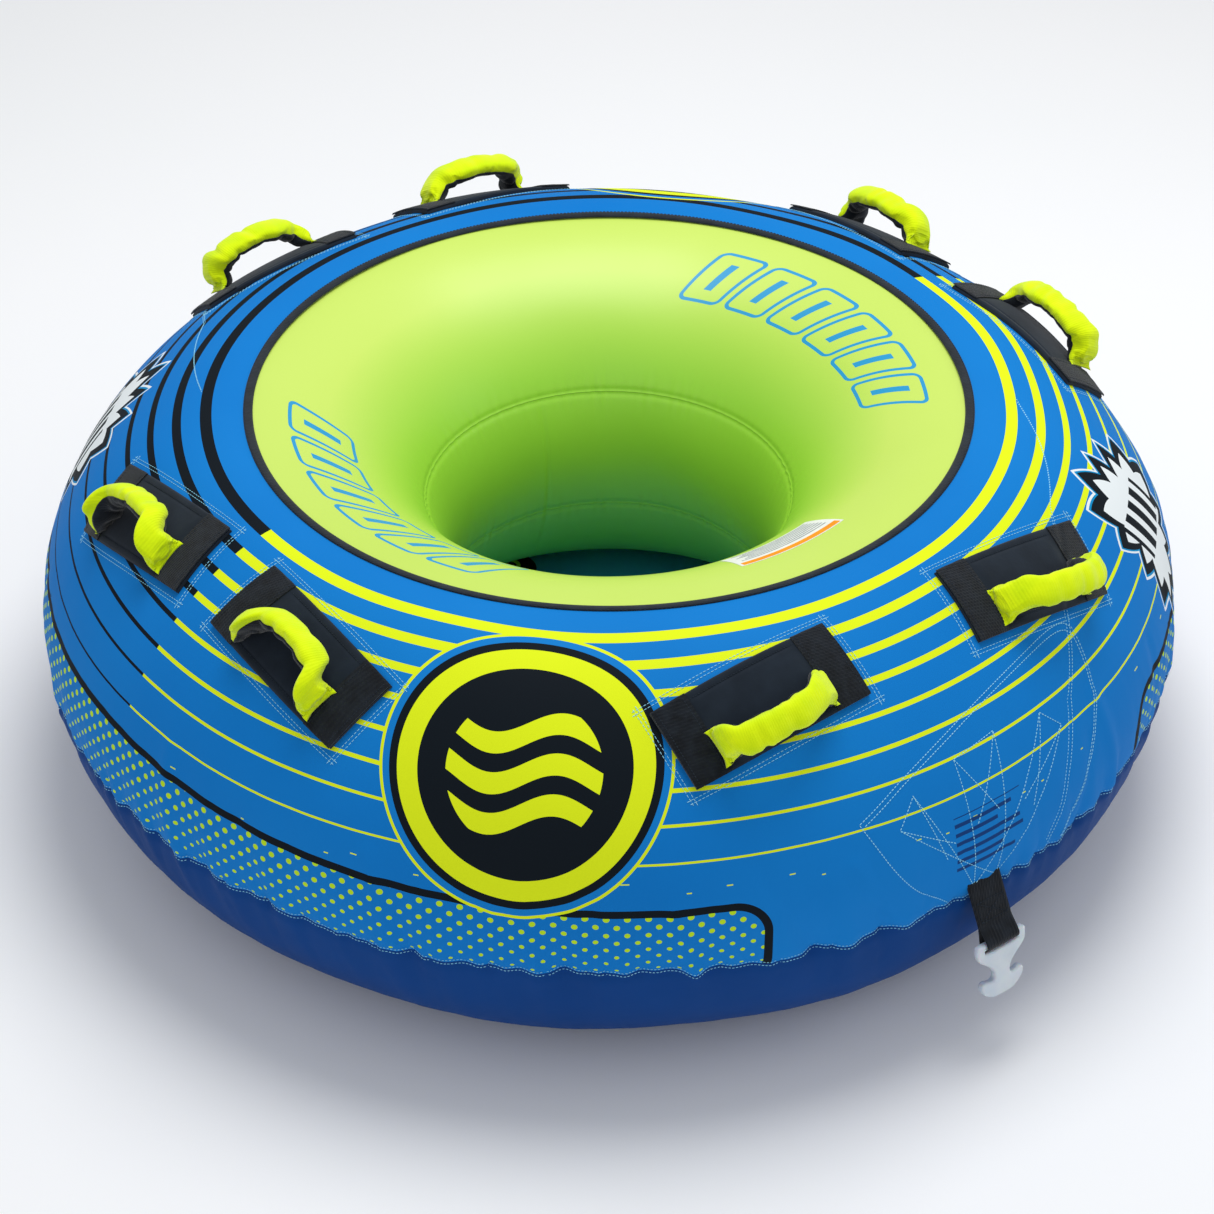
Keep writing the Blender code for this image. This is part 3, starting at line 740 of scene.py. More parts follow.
def seam_thread(name, paths, material, place=skin, slot="cover_fabric", offset=0.0003, **sizes):
    """Rows of stitches on the cover, each path a list of (azimuth, section angle)."""
    runs = []
    for path in paths:
        path = np.asarray(path, float)
        steps = np.concatenate([np.linspace(i, i + 1, 12, endpoint=False)
                                for i in range(len(path) - 1)] + [[len(path) - 1]])
        azimuth = np.interp(steps, np.arange(len(path)), path[:, 0])
        angle = np.interp(steps, np.arange(len(path)), path[:, 1])
        points = place(azimuth, angle, offset)
        normals = normals_along(lambda a, b: place(a, b, 0.0), azimuth, angle, 0.05)
        outward = points - np.stack([CROWN_RADIUS * np.cos(np.radians(azimuth)),
                                     CROWN_RADIUS * np.sin(np.radians(azimuth)),
                                     np.full_like(azimuth, TUBE_HEIGHT / 2.0)], -1)
        normals *= np.sign((normals * outward).sum(-1, keepdims=True))
        runs.append(stitch_run(points, normals, **sizes))
    points, faces = joined(runs)
    return add_mesh(name, points, faces, material, sharp=0.0)


# ---- camera, light and floor ---------------------------------------------------------------------
def add_camera():
    data = bpy.data.cameras.new("camera")
    data.lens = 92.3
    data.sensor_width = 36.0
    data.shift_x = -0.0016
    camera = bpy.data.objects.new("camera", data)
    bpy.context.scene.collection.objects.link(camera)
    azimuth, elevation = math.radians(-126.6), math.radians(36.74)
    toward = Vector((math.cos(elevation) * math.cos(azimuth),
                     math.cos(elevation) * math.sin(azimuth), math.sin(elevation)))
    camera.location = Vector((0.0, 0.0, 0.2245)) + toward * 5.0
    camera.rotation_euler = (-toward).to_track_quat("-Z", "Y").to_euler()
    bpy.context.scene.camera = camera


def add_light(name, place, size, power, target=(0.0, 0.0, 0.2)):
    data = bpy.data.lights.new(name, "AREA")
    data.shape = "DISK"
    data.size = size
    data.energy = power
    light = bpy.data.objects.new(name, data)
    bpy.context.scene.collection.objects.link(light)
    light.location = place
    light.rotation_euler = (Vector(target) - Vector(place)).to_track_quat("-Z", "Y").to_euler()


def add_studio():
    world = bpy.data.worlds.new("studio")
    bpy.context.scene.world = world
    world.use_nodes = True
    world.node_tree.nodes["Background"].inputs[0].default_value = (0.96, 0.98, 1.0, 1.0)
    world.node_tree.nodes["Background"].inputs[1].default_value = 0.56
    add_light("key", (0.6, 0.3, 4.2), 2.6, 98.0)
    add_light("fill", (-3.4, -3.0, 2.4), 3.0, 14.0)
    add_light("side", (3.6, -2.6, 2.2), 2.4, 14.0)
    mesh = bpy.data.meshes.new("studio_floor")
    far = 14.0
    mesh.from_pydata([(-far, -far, 0), (far, -far, 0), (far, far, 0), (-far, far, 0)], [],
                     [(0, 1, 2, 3)])
    floor = bpy.data.objects.new("studio_floor", mesh)
    bpy.context.scene.collection.objects.link(floor)
    floor.location.z = -0.0004
    paper = Surface("studio_paper", 0.9)
    paper.base(rgb(253, 253, 254), rgb(251, 252, 253), 0.6)
    mesh.materials.append(paper.done())
    bpy.context.scene.view_settings.view_transform = "Standard"


add_camera()
add_studio()


# ---- cover and bladder ---------------------------------------------------------------------------
def uneven(*stretches):
    """Angles from (start, end, count) stretches, without repeats."""
    values = []
    for start, end, count in stretches:
        values.extend(np.linspace(start, end, count, endpoint=False))
    values.append(stretches[-1][1])
    return values


def make_cover():
    top = shell("cover_top_printed", skin,
                uneven((LOWER_SEAM, 12.0, 30), (12.0, 40.0, 22), (40.0, COVER_EDGE, 32)),
                -FABRIC, 0.0, COVER_PRINT)
    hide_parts("cover_top")
    lower = shell("cover_lower_side_fabric", skin,
                  uneven((LOWER_SEAM, -30.0, 22), (-30.0, -90.0, 26)),
                  -FABRIC, 0.0, LOWER_FABRIC_SHADED)
    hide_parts("cover_lower_side")
    ring = np.arange(360) * math.pi / 180.0
    radii = np.linspace(0.012, CROWN_RADIUS - 0.0004, 46)
    grid_t, grid_r = np.meshgrid(ring, radii, indexing="xy")
    lift = (0.0016 + 0.0012 * np.sin(grid_t * 5.0 + grid_r * 14.0)
            + 0.0009 * np.sin(grid_t * 11.0 - grid_r * 31.0)) * swell(-grid_r, -0.56, -0.50)
    lift = np.maximum(lift, 0.0) * swell(grid_r, 0.0, 0.10)
    flat = np.stack([grid_r * np.cos(grid_t), grid_r * np.sin(grid_t)], -1)
    high = np.concatenate([flat, (FABRIC + lift)[..., None]], -1)
    low = np.concatenate([flat, np.maximum(lift - 0.0002, 0.0)[..., None]], -1)
    points, faces = closed_sheet(high, low, True)
    count = 46 * 360
    rims = set(range(360)) | set(range(count, count + 360))
    faces = [tuple(f) for f in faces if not set(f) <= rims]
    faces.append(tuple(range(360)))
    faces.append(tuple(range(count + 359, count - 1, -1)))
    floor = add_mesh("cover_floor_fabric", points, faces, FLOOR_FABRIC)
    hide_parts("cover_floor")


def make_bladder():
    low = -0.001
    top = shell("bladder_crown_film", film,
                uneven((EQUATOR_WELD - 359.85, 86.0, 14), (86.0, 150.0, 40),
                       (150.0, UPPER_WELD - 0.04, 12)),
                low, 0.0, VINYL, 480)
    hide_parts("bladder_top_panel")
    wall = shell("bladder_inner_wall_film", film,
                 uneven((UPPER_WELD + 0.04, 162.0, 12), (162.0, 186.0, 12),
                        (186.0, LOWER_WELD - 0.04, 12)),
                 low, 0.0, VINYL, 480)
    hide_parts("bladder_inner_wall")
    under = shell("bladder_bottom_film", film,
                  uneven((LOWER_WELD + 0.04, 200.0, 12), (200.0, 285.0, 22),
                         (285.0, EQUATOR_WELD - 0.15, 12)),
                  low, 0.0, VINYL, 480)
    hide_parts("bladder_bottom_panel")


def make_binding():
    """The folded tape that finishes the cover's opening."""
    angles = np.linspace(COVER_EDGE - 1.95, COVER_EDGE + 0.66, 9)
    azimuth = np.arange(720) * 0.5
    grid_a, grid_p = np.meshgrid(azimuth, angles, indexing="xy")
    crown = 1.0 - np.abs(np.linspace(-1.0, 1.0, 9)) ** 3.0
    high = (0.0010 + 0.0018 * crown)[:, None] + 0.0001 * np.sin(np.radians(grid_a) * 360.0)
    points, faces = closed_sheet(skin(grid_a, grid_p, high), skin(grid_a, grid_p, 0.0006), True)
    tape = add_mesh("opening_binding_tape", points, faces, BINDING, sharp=0.0)
    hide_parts("opening_binding")
    line = [[(a, COVER_EDGE - 1.75) for a in np.linspace(0.0, 360.0, 361)]]
    seam_thread("opening_binding_stitching", line, BLACK_THREAD, slot="binding_tape",
                offset=0.0022)


def eased(path, rounds=3):
    """An open run of points with its corners cut again and again."""
    path = np.asarray(path, float)
    for _ in range(rounds):
        cut = np.stack([path[:-1] * 0.75 + path[1:] * 0.25,
                        path[:-1] * 0.25 + path[1:] * 0.75], 1).reshape(-1, 2)
        path = np.concatenate([path[:1], cut, path[-1:]])
    return path


def make_seams():
    around = np.linspace(0.0, 360.0, 721)
    gap = math.degrees(0.0034 / 0.315)
    rows = [[(a, LOWER_SEAM + sign * gap) for a in around] for sign in (-1.0, 1.0)]
    seam_thread("lower_seam_stitching", rows, THREAD, length=0.0034, pitch=0.0052)
    side = []
    for shift in (0.0, 0.55):
        side.append([(a + shift, p + shift * 0.4) for a, p in SIDE_SEAM])
    side += [[(a + 180.0, p) for a, p in path] for path in side]
    seam_thread("side_seam_stitching", side, THREAD, length=0.0034, pitch=0.0052)
    centre = (-89.8, -8.0)
    corners = {"left": ((-97.1, 27.0), (-99.1, 19.0)), "middle": ((-91.8, 32.0), (-86.3, 34.0)),
               "right": ((-80.0, 31.0), (-77.8, 24.0))}
    fan = []
    for start, end in corners.values():
        fan.append([(centre[0] - 1.4, centre[1]), start, end, (centre[0] + 1.4, centre[1])])
        fan.append([start, (0.5 * (centre[0] + end[0]), 0.5 * (centre[1] + end[1]))])
        fan.append([end, (0.5 * (centre[0] + start[0]), 0.5 * (centre[1] + start[1]))])
    seam_thread("tow_strap_stitching", fan, THREAD, length=0.0038, pitch=0.0054, width=0.0013)
    patch = [(-103.0, 24.0), (-96.0, 35.5), (-84.0, 46.0), (-70.2, 49.0), (-70.6, 36.0),
             (-72.5, 18.0), (-76.5, -1.0), (-79.5, -9.5)]
    left = [(-94.0, -10.0), (-99.0, 2.0), (-103.0, 24.0)]
    inner = [(a * 0.97 - 2.6, p * 0.965) for a, p in patch]
    seam_thread("tow_patch_stitching", [eased(patch), eased(left), eased(inner)], THREAD,
                length=0.0038, pitch=0.0054, width=0.0013)


def make_harness():
    """Webbing inside the cover that spreads the pull of the tow loop."""
    angles = np.linspace(LOWER_SEAM + 1.5, 35.0, 30)
    half = math.degrees(TOW_WIDTH / 2.0 / OUTER_RADIUS)
    for name, lean in (("tow_harness_left", -1.0), ("tow_harness_centre", 0.0),
                       ("tow_harness_right", 1.0)):
        rise = (angles - angles[0]) / (angles[-1] - angles[0])
        centre = -90.0 + lean * (half * 1.75 + rise * (9.0 - 2.4 * half))
        reach = half * (0.6 if lean else 1.0)
        grid = centre[:, None] + np.linspace(-reach, reach, 9)[None, :]
        grid_p = np.repeat(angles[:, None], 9, 1)
        points, faces = closed_sheet(skin(grid, grid_p, -0.0018), skin(grid, grid_p, -0.0036))
        item = add_mesh(name + "_webbing", points, faces, WEB_BLACK)
        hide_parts(name)


make_cover()
make_bladder()
make_binding()
make_seams()
make_harness()


# ---- handles -------------------------------------------------------------------------------------
def handle_frame(azimuth, toe_in):
    """Middle of a handle on the turned surface, and its axes: along, across and outward."""
    centre = Vector(turned(azimuth, PAD_ANGLE, 0.0))
    around, upward, normal = axes_on(turned, azimuth, PAD_ANGLE, 0.2, 0.2)
    turn = Matrix.Rotation(math.radians(toe_in), 3, normal)
    return centre, turn @ around, turn @ upward, normal


def on_skin(frame_axes):
    """A function that lays (u, v) of a handle's tangent plane on the cover."""
    centre, along, across, _ = (np.array(item) for item in frame_axes)

    def place(u, v, offset=0.0):
        u = np.asarray(u, float)[..., None]
        v = np.asarray(v, float)[..., None]
        point = centre + along * u + across * v
        azimuth = np.degrees(np.arctan2(point[..., 1], point[..., 0]))
        radius = np.hypot(point[..., 0], point[..., 1])
        angle = np.degrees(np.arctan2(point[..., 2] - TUBE_HEIGHT / 2.0, radius - CROWN_RADIUS))
        return skin(azimuth, angle, offset)

    return place


def make_pad(name, place):
    """Neoprene pad: soft in the middle, bound along both long edges."""
    half_l, half_w = PAD_LENGTH / 2.0, PAD_WIDTH / 2.0
    u = np.concatenate([np.linspace(-half_l, -0.092, 10, endpoint=False),
                        np.linspace(-0.092, 0.092, 44, endpoint=False),
                        np.linspace(0.092, half_l, 11)])
    side = half_w * np.array([0.40, 0.60, 0.70, 0.76, 0.79, 0.81, 0.84, 0.87, 0.91, 0.95, 0.98,
                              1.0])
    v = np.concatenate([-side[::-1], [-0.2 * half_w, 0.0, 0.2 * half_w], side])
    grid_u, grid_v = np.meshgrid(u, v, indexing="ij")
    middle = 1.0 - swell(np.abs(grid_u), 0.070, 0.088)
    across = np.abs(grid_v) / half_w
    body = PAD_THICKNESS + 0.0022 * middle * (1.0 - np.minimum(across / 0.8, 1.0) ** 2)
    body -= 0.0012 * middle * np.exp(-((across - 0.80) / 0.018) ** 2)
    body += 0.0006 * middle * swell(across, 0.81, 0.86)
    body -= 0.0028 * swell(across, 0.93, 1.0) ** 2
    body -= 0.0020 * swell(np.abs(grid_u) / half_l, 0.985, 1.0)
    points, faces = closed_sheet(place(grid_u, grid_v, PAD_LIFT + body),
                                 place(grid_u, grid_v, 0.0004))
    pad = add_mesh(name + "_knuckle_pad", points, faces, NEOPRENE)
    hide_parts(name + "_handle_pad")


def make_patch(name, place, sign, number):
    """Ribbed webbing over one end of the pad."""
    half_l, half_w = PAD_LENGTH / 2.0, PAD_WIDTH / 2.0
    u = np.linspace(half_l - PATCH_LENGTH, half_l, 12) * sign
    v = np.linspace(-half_w, half_w, 97)
    grid_u, grid_v = np.meshgrid(u, v, indexing="ij")
    low = PAD_LIFT + PAD_THICKNESS + 0.0003
    ribs = 0.00035 * np.sin(grid_v * 2.0 * math.pi / 0.0052 + grid_u * 240.0)
    edge = swell(np.abs(grid_v) / half_w, 0.955, 1.0) * 0.0012
    high = low + WEBBING + ribs - edge
    points, faces = closed_sheet(place(grid_u, grid_v, high), place(grid_u, grid_v, low - 0.0002))
    patch = add_mesh(f"{name}_handle_patch_{number}", points, faces, WEB_BLACK)
    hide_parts(f"{name}_handle_webbing_{number}")


def rectangle(half_u, half_v, reach):
    """Four crossing lines round a pad, each as two end points."""
    return (((-half_u - reach, half_v), (half_u + reach, half_v)),
            ((-half_u - reach, -half_v), (half_u + reach, -half_v)),
            ((half_u, -half_v - reach), (half_u, half_v + reach)),
            ((-half_u, -half_v - reach), (-half_u, half_v + reach)))


def stitch_lines(name, place, lines, material, slot, offset, **sizes):
    runs = []
    for (u0, v0), (u1, v1) in lines:
        u = np.linspace(u0, u1, 60)
        v = np.linspace(v0, v1, 60)
        normals = normals_along(place, u, v, 0.002)
        runs.append(stitch_run(place(u, v, offset), normals, **sizes))
    points, faces = joined(runs)
    return add_mesh(name, points, faces, material, sharp=0.0)


# ---- the grab sleeve, blown up once as cloth and then bent for each handle -----------------------
SLEEVE_ROWS = 128
SLEEVE_ROUND = 44
ARCH = ((-0.0895, -0.0110), (-0.0840, -0.0060), (-0.0785, 0.0060), (-0.0715, 0.0210),
        (-0.0560, 0.0350), (-0.0320, 0.0430), (0.0, 0.0450))


def sleeve_line():
    """Even points along the arch and its width and thickness there."""
    path = np.array(ARCH + tuple((-x, z) for x, z in reversed(ARCH[:-1])))
    marks = np.concatenate([[0.0], np.cumsum(np.hypot(*np.diff(path, axis=0).T))])
    fine = np.linspace(0.0, marks[-1], 600)
    line = np.stack([np.interp(fine, marks, path[:, k]) for k in range(2)], -1)
    for _ in range(260):
        line[1:-1] = 0.25 * line[:-2] + 0.5 * line[1:-1] + 0.25 * line[2:]
    marks = np.concatenate([[0.0], np.cumsum(np.hypot(*np.diff(line, axis=0).T))])
    even = np.linspace(0.0, marks[-1], SLEEVE_ROWS)
    line = np.stack([np.interp(even, marks, line[:, k]) for k in range(2)], -1)
    share = np.minimum(even, marks[-1] - even)
    return line, even, share


def sleeve_start():
    """Points of the sleeve before it is blown up: rows along it, and points around it."""
    line, even, share = sleeve_line()
    way = np.gradient(line, axis=0)
    way /= np.linalg.norm(way, axis=1, keepdims=True)
    out = np.stack([-way[:, 1], way[:, 0]], -1)
    wide = 0.0285 - 0.0075 * swell(share, 0.002, 0.032)
    thick = 0.0016 + 0.0122 * swell(share, 0.0, 0.024) ** 0.7
    angle = np.arange(SLEEVE_ROUND) * 2.0 * math.pi / SLEEVE_ROUND
    across = np.sign(np.cos(angle)) * np.abs(np.cos(angle)) ** 0.8
    above = np.sign(np.sin(angle)) * np.abs(np.sin(angle)) ** 0.8
    x = line[:, None, 0] + out[:, None, 0] * above * thick[:, None]
    z = line[:, None, 1] + out[:, None, 1] * above * thick[:, None]
    y = np.broadcast_to(across * wide[:, None], x.shape)
    ear = 0.0055 * np.abs(across)[None, :] ** 5 * (1.0 - swell(share, 0.0, 0.006))[:, None]
    x = x + ear * np.sign(line[:, None, 0])
    return np.stack([x, y, z], -1), even, share


def blow_up(points, share):
    """Run the sleeve as cloth with air in it, and return where its points come to rest."""
    rows, around = points.shape[:2]
    mesh = bpy.data.meshes.new("sleeve_cloth")
    mesh.from_pydata(points.reshape(-1, 3).tolist(), [], quads(rows, around, True).tolist())
    item = bpy.data.objects.new("sleeve_cloth", mesh)
    bpy.context.scene.collection.objects.link(item)
    held = item.vertex_groups.new(name="held")
    for row in range(rows):
        weight = float(1.0 - swell(share[row], 0.002, 0.010))
        if weight > 0.0:
            held.add(list(range(row * around, (row + 1) * around)), weight, "REPLACE")
    cloth = item.modifiers.new("Cloth", "CLOTH")
    settings = cloth.settings
    settings.quality = 6
    settings.mass = 0.10
    settings.tension_stiffness = 12.0
    settings.compression_stiffness = 12.0
    settings.shear_stiffness = 4.0
    settings.bending_stiffness = 0.25
    settings.use_pressure = True
    settings.uniform_pressure_force = 4.0
    settings.shrink_min = -0.14
    settings.vertex_group_mass = "held"
    settings.effector_weights.gravity = 0.0
    cloth.collision_settings.use_collision = False
    scene = bpy.context.scene
    scene.frame_start, scene.frame_end = 1, 20
    for step in range(1, 21):
        scene.frame_set(step)
    shaped = item.evaluated_get(bpy.context.evaluated_depsgraph_get()).to_mesh()
    found = np.array([v.co for v in shaped.vertices]).reshape(points.shape)
    scene.frame_set(1)
    bpy.data.objects.remove(item)
    moved = found - points
    size = np.linalg.norm(moved, axis=-1, keepdims=True) + 1e-9
    return points + moved * np.minimum(1.0, 0.008 / size)


SLEEVE, SLEEVE_ALONG, SLEEVE_SHARE = sleeve_start()
SLEEVE = blow_up(SLEEVE, SLEEVE_SHARE)


def crease(points, share, seed):
    """Press random gathers across the sleeve, deepest along its inner edges."""
    rng = np.random.default_rng(seed)
    rows, around = points.shape[:2]
    run = np.linspace(0.0, 1.0, rows)[:, None]
    turn = np.arange(around)[None, :] * 2.0 * math.pi / around
    press = np.zeros((rows, around))
    for place in (np.arange(9) + rng.uniform(0.2, 0.8, 9)) / 9.0:
        facing = rng.uniform(0.0, 2.0 * math.pi)
        lean = rng.uniform(-0.03, 0.03)
        width = rng.uniform(0.022, 0.040)
        reach = 0.5 + 0.5 * np.cos(turn - facing)
        bite = rng.uniform(0.0018, 0.0042) * reach
        line = place + lean * np.sin(turn - facing)
        press += bite * np.exp(-((run - line) / width) ** 2)
        press -= 0.35 * bite * np.exp(-((run - line - 1.9 * width) / width) ** 2)
    fade = swell(share, 0.0, 0.012)[:, None]
    return points - grid_normals(points) * (press * fade)[..., None]


def grid_normals(points):
    """Directions out of a closed tube of points."""
    along = np.gradient(points, axis=0)
    around = np.roll(points, -1, axis=1) - np.roll(points, 1, axis=1)
    normal = np.cross(around, along)
    normal /= np.linalg.norm(normal, axis=-1, keepdims=True) + 1e-12
    centre = points.mean(axis=1, keepdims=True)
    if ((points - centre) * normal).sum() < 0.0:
        normal = -normal
    return normal


def bend_to(points, tilt, skew):
    """Lean the arch by its tilt, but keep its sewn ends where they are."""
    x, y, z = points[..., 0], points[..., 1], points[..., 2]
    free = 1.0 - swell(np.abs(x), 0.052, 0.086)
    x = x + skew * np.maximum(z, 0.0) * 0.30
    turn = np.radians(tilt) * free
    return np.stack([x, y * np.cos(turn) - z * np.sin(turn), y * np.sin(turn) + z * np.cos(turn)],
                    -1)


def two_halves(name, grid, along, material, matrix, nodes):
    """Split a sleeve at its middle into two meshes that keep the whole sleeve's normals."""
    rows, around = grid.shape[:2]
    world = moved(matrix, grid).reshape(-1, 3)
    whole = bpy.data.meshes.new(name)
    whole.from_pydata(world.tolist(), [], tube_faces(rows, around, False))
    face_out(whole)
    normals = np.array([v.normal for v in whole.vertices])
    faces = [tuple(p.vertices) for p in whole.polygons]
    bpy.data.meshes.remove(whole)
    middle = rows // 2
    for side, first, last in (("left", 0, middle), ("right", middle, rows - 1)):
        keep = range(first * around, (last + 1) * around)
        number = {old: new for new, old in enumerate(keep)}
        mine = [tuple(number[v] for v in f) for f in faces if all(v in number for v in f)]
        mesh = bpy.data.meshes.new(f"{name}_{side}")
        mesh.from_pydata(world[first * around:(last + 1) * around].tolist(), [], mine)
        mesh.shade_smooth()
        mesh.normals_split_custom_set_from_vertices(
            normals[first * around:(last + 1) * around].tolist())
        run = mesh.attributes.new("along", "FLOAT", "POINT")
        run.data.foreach_set("value", np.repeat(along[first:last + 1], around).astype(np.float32))
        mesh.materials.append(material)
        item = bpy.data.objects.new(f"{name}_{side}", mesh)
        bpy.context.scene.collection.objects.link(item)
        end = -1.0 if side == "left" else 1.0
        matrix @ Vector((end * 0.086, 0.0, 0.0))
        matrix @ Vector((end * 0.046, 0.0, 0.0))
        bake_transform(item)
    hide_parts(*nodes)


def make_grip(name, frame_axes, tilt, index):
    centre, along, across, normal = frame_axes
    hinge = centre - across * GRIP_OFFSET + normal * GRIP_AXIS_HEIGHT
    matrix = matrix_of(hinge, (along, across, normal))
    shape = SLEEVE[::-1] * np.array([-1.0, 1.0, 1.0]) if index % 2 else SLEEVE
    if index % 4 >= 2:
        shape = shape * np.array([1.0, -1.0, 1.0])
    share = SLEEVE_SHARE[::-1] if index % 2 else SLEEVE_SHARE
    shape = crease(shape, share, 40 + index)
    skew = (0.9, -0.6, 0.5, -0.9)[index % 4]
    normals = grid_normals(shape)
    bent = bend_to(shape, tilt, skew)
    two_halves(name + "_grip_sleeve", bent, SLEEVE_ALONG, GRIP_FABRIC, matrix,
               [name + "_grip"])
    middle = np.argmin(shape[SLEEVE_ROWS // 2, :, 2])
    reach = SLEEVE_ROUND // 4 - 2
    columns = (np.arange(-reach, reach + 1) + middle) % SLEEVE_ROUND
    rows = slice(3, SLEEVE_ROWS - 3)
    under = shape[rows][:, columns]
    way = normals[rows][:, columns]
    lip = (0.0016 + 0.0014 * (1.0 - (np.abs(np.arange(-reach, reach + 1)) / reach) ** 4))
    high = bend_to(under - way * 0.0006, tilt, skew)
    base = bend_to(under + way * lip[None, :, None], tilt, skew)
    ring = np.concatenate([high, base[:, ::-1]], axis=1)
    two_halves(name + "_grip_liner", ring, SLEEVE_ALONG[rows], WEB_BLACK,
               matrix, [name + "_grip_strap"])


def make_handles():
    for index, (name, azimuth, tilt) in enumerate(HANDLES):
        frame_axes = handle_frame(azimuth, PAD_TOE_IN if index % 2 else -PAD_TOE_IN)
        place = on_skin(frame_axes)
        make_pad(name, place)
        make_patch(name, place, -1.0, 1)
        make_patch(name, place, 1.0, 2)
        half_l, half_w = PAD_LENGTH / 2.0, PAD_WIDTH / 2.0
        lines = rectangle(half_l + 0.010, half_w + 0.010, 0.012)
        lines += rectangle(half_l + 0.0155, half_w + 0.0155, 0.004)
        stitch_lines(name + "_pad_stitching", place, lines, THREAD, "cover_fabric", 0.0003,
                     length=0.0046, pitch=0.0060, width=0.0010)
        edges = [((-0.086, s * 0.0515), (0.086, s * 0.0515)) for s in (-1.0, 1.0)]
        stitch_lines(name + "_binding_stitching", place, edges, BLACK_THREAD, "pad_neoprene",
                     PAD_LIFT + PAD_THICKNESS - 0.0002, length=0.0030, pitch=0.0044)
        inner = half_l - PATCH_LENGTH
        rows = [((s * (inner + d), -half_w + 0.005), (s * (inner + d), half_w - 0.005))
                for s in (-1.0, 1.0) for d in (0.006, PATCH_LENGTH - 0.007)]
        stitch_lines(name + "_patch_stitching", place, rows, BLACK_THREAD, "black_webbing",
                     PAD_LIFT + PAD_THICKNESS + 0.0003 + WEBBING, length=0.0032, pitch=0.0046)
        make_grip(name, frame_axes, tilt, index)


make_handles()


# ---- tow point -----------------------------------------------------------------------------------
TOW_MATRIX = (Matrix.Translation((0.0, -OUTER_RADIUS - TOW_STANDOFF, TOW_HEIGHT))
              @ Matrix.Rotation(math.radians(-TOW_LEAN), 4, "X"))
HOOK_MATRIX = (TOW_MATRIX @ Matrix.Translation((0.0, 0.0, -TOW_DROP))
               @ Matrix.Rotation(math.radians(TOW_LEAN - HOOK_LEAN), 4, "X"))


def make_tow_strap():
    """Two layers of webbing that come out of the seam and pass round the hook's bar."""
    eye = math.hypot(0.004, 0.006) + 0.0005
    middle = eye + TOW_WEBBING / 2.0
    flat = TOW_WEBBING / 2.0 + 0.0001
    path = [(flat, 0.022), (flat, 0.0), (flat, -TOW_SPLIT)]
    path += [(middle * math.cos(math.radians(a)), -TOW_DROP + middle * math.sin(math.radians(a)))
             for a in np.linspace(28.0, -208.0, 22)]
    path += [(-flat, -TOW_SPLIT), (-flat, 0.0), (-flat, 0.022)]
    path = np.array(path)
    marks = np.concatenate([[0.0], np.cumsum(np.hypot(*np.diff(path, axis=0).T))])
    even = np.linspace(0.0, marks[-1], 240)
    line = np.stack([np.interp(even, marks, path[:, k]) for k in range(2)], -1)
    for _ in range(14):
        line[1:-1] = 0.25 * line[:-2] + 0.5 * line[1:-1] + 0.25 * line[2:]
    way = np.gradient(line, axis=0)
    way /= np.linalg.norm(way, axis=1, keepdims=True)
    out = np.stack([-way[:, 1], way[:, 0]], -1)
    x = np.linspace(-TOW_WIDTH / 2.0, TOW_WIDTH / 2.0, 41)
    edge = 1.0 - 0.45 * swell(np.abs(x) / (TOW_WIDTH / 2.0), 0.93, 1.0)
    ribs = 0.00022 * np.sin(even[:, None] * 2.0 * math.pi / 0.0024)
    ribs = ribs + 0.00016 * np.sin(x[None, :] * 2.0 * math.pi / 0.0060)
    grids = []
    for side in (1.0, -1.0):
        reach = side * (TOW_WEBBING / 2.0 * edge[None, :] + ribs - 0.0002)
        y = line[:, None, 0] + out[:, None, 0] * reach
        z = line[:, None, 1] + out[:, None, 1] * reach
        grids.append(moved(TOW_MATRIX, np.stack([np.broadcast_to(x, y.shape), y, z], -1)))
    points, faces = closed_sheet(*grids)
    strap = add_mesh("tow_loop_webbing", points, faces, WEB_BLACK, body=None)
    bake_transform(strap)
    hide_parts("tow_strap")
    runs = []
    out_way = np.array((TOW_MATRIX.to_3x3() @ Vector((0.0, -1.0, 0.0))))
    box = ((-0.024, -0.012), (0.024, -0.012), (0.024, -0.042), (-0.024, -0.042), (-0.024, -0.012),
           (0.024, -0.042))
    cross = ((0.024, -0.012), (-0.024, -0.042))
    for path in (box, cross):
        corner = moved(TOW_MATRIX, np.array([(a, -flat * 2.0 - 0.0002, b) for a, b in path]))
        dense = np.concatenate([np.linspace(corner[i], corner[i + 1], 30, endpoint=False)
                                for i in range(len(corner) - 1)] + [corner[-1:]])
        runs.append(stitch_run(dense, np.repeat(out_way[None], len(dense), 0), length=0.0032,
                               pitch=0.0046))
    points, faces = joined(runs)
    add_mesh("tow_loop_stitching", points, faces, BLACK_THREAD,
             body="tow_strap", sharp=0.0)


def rounded(loop, rounds):
    """Cut the corners of a closed loop of points, again and again."""
    loop = np.asarray(loop, float)
    for _ in range(rounds):
        after = np.roll(loop, -1, axis=0)
        loop = np.stack([loop * 0.75 + after * 0.25, loop * 0.25 + after * 0.75], 1).reshape(-1, 2)
    return loop


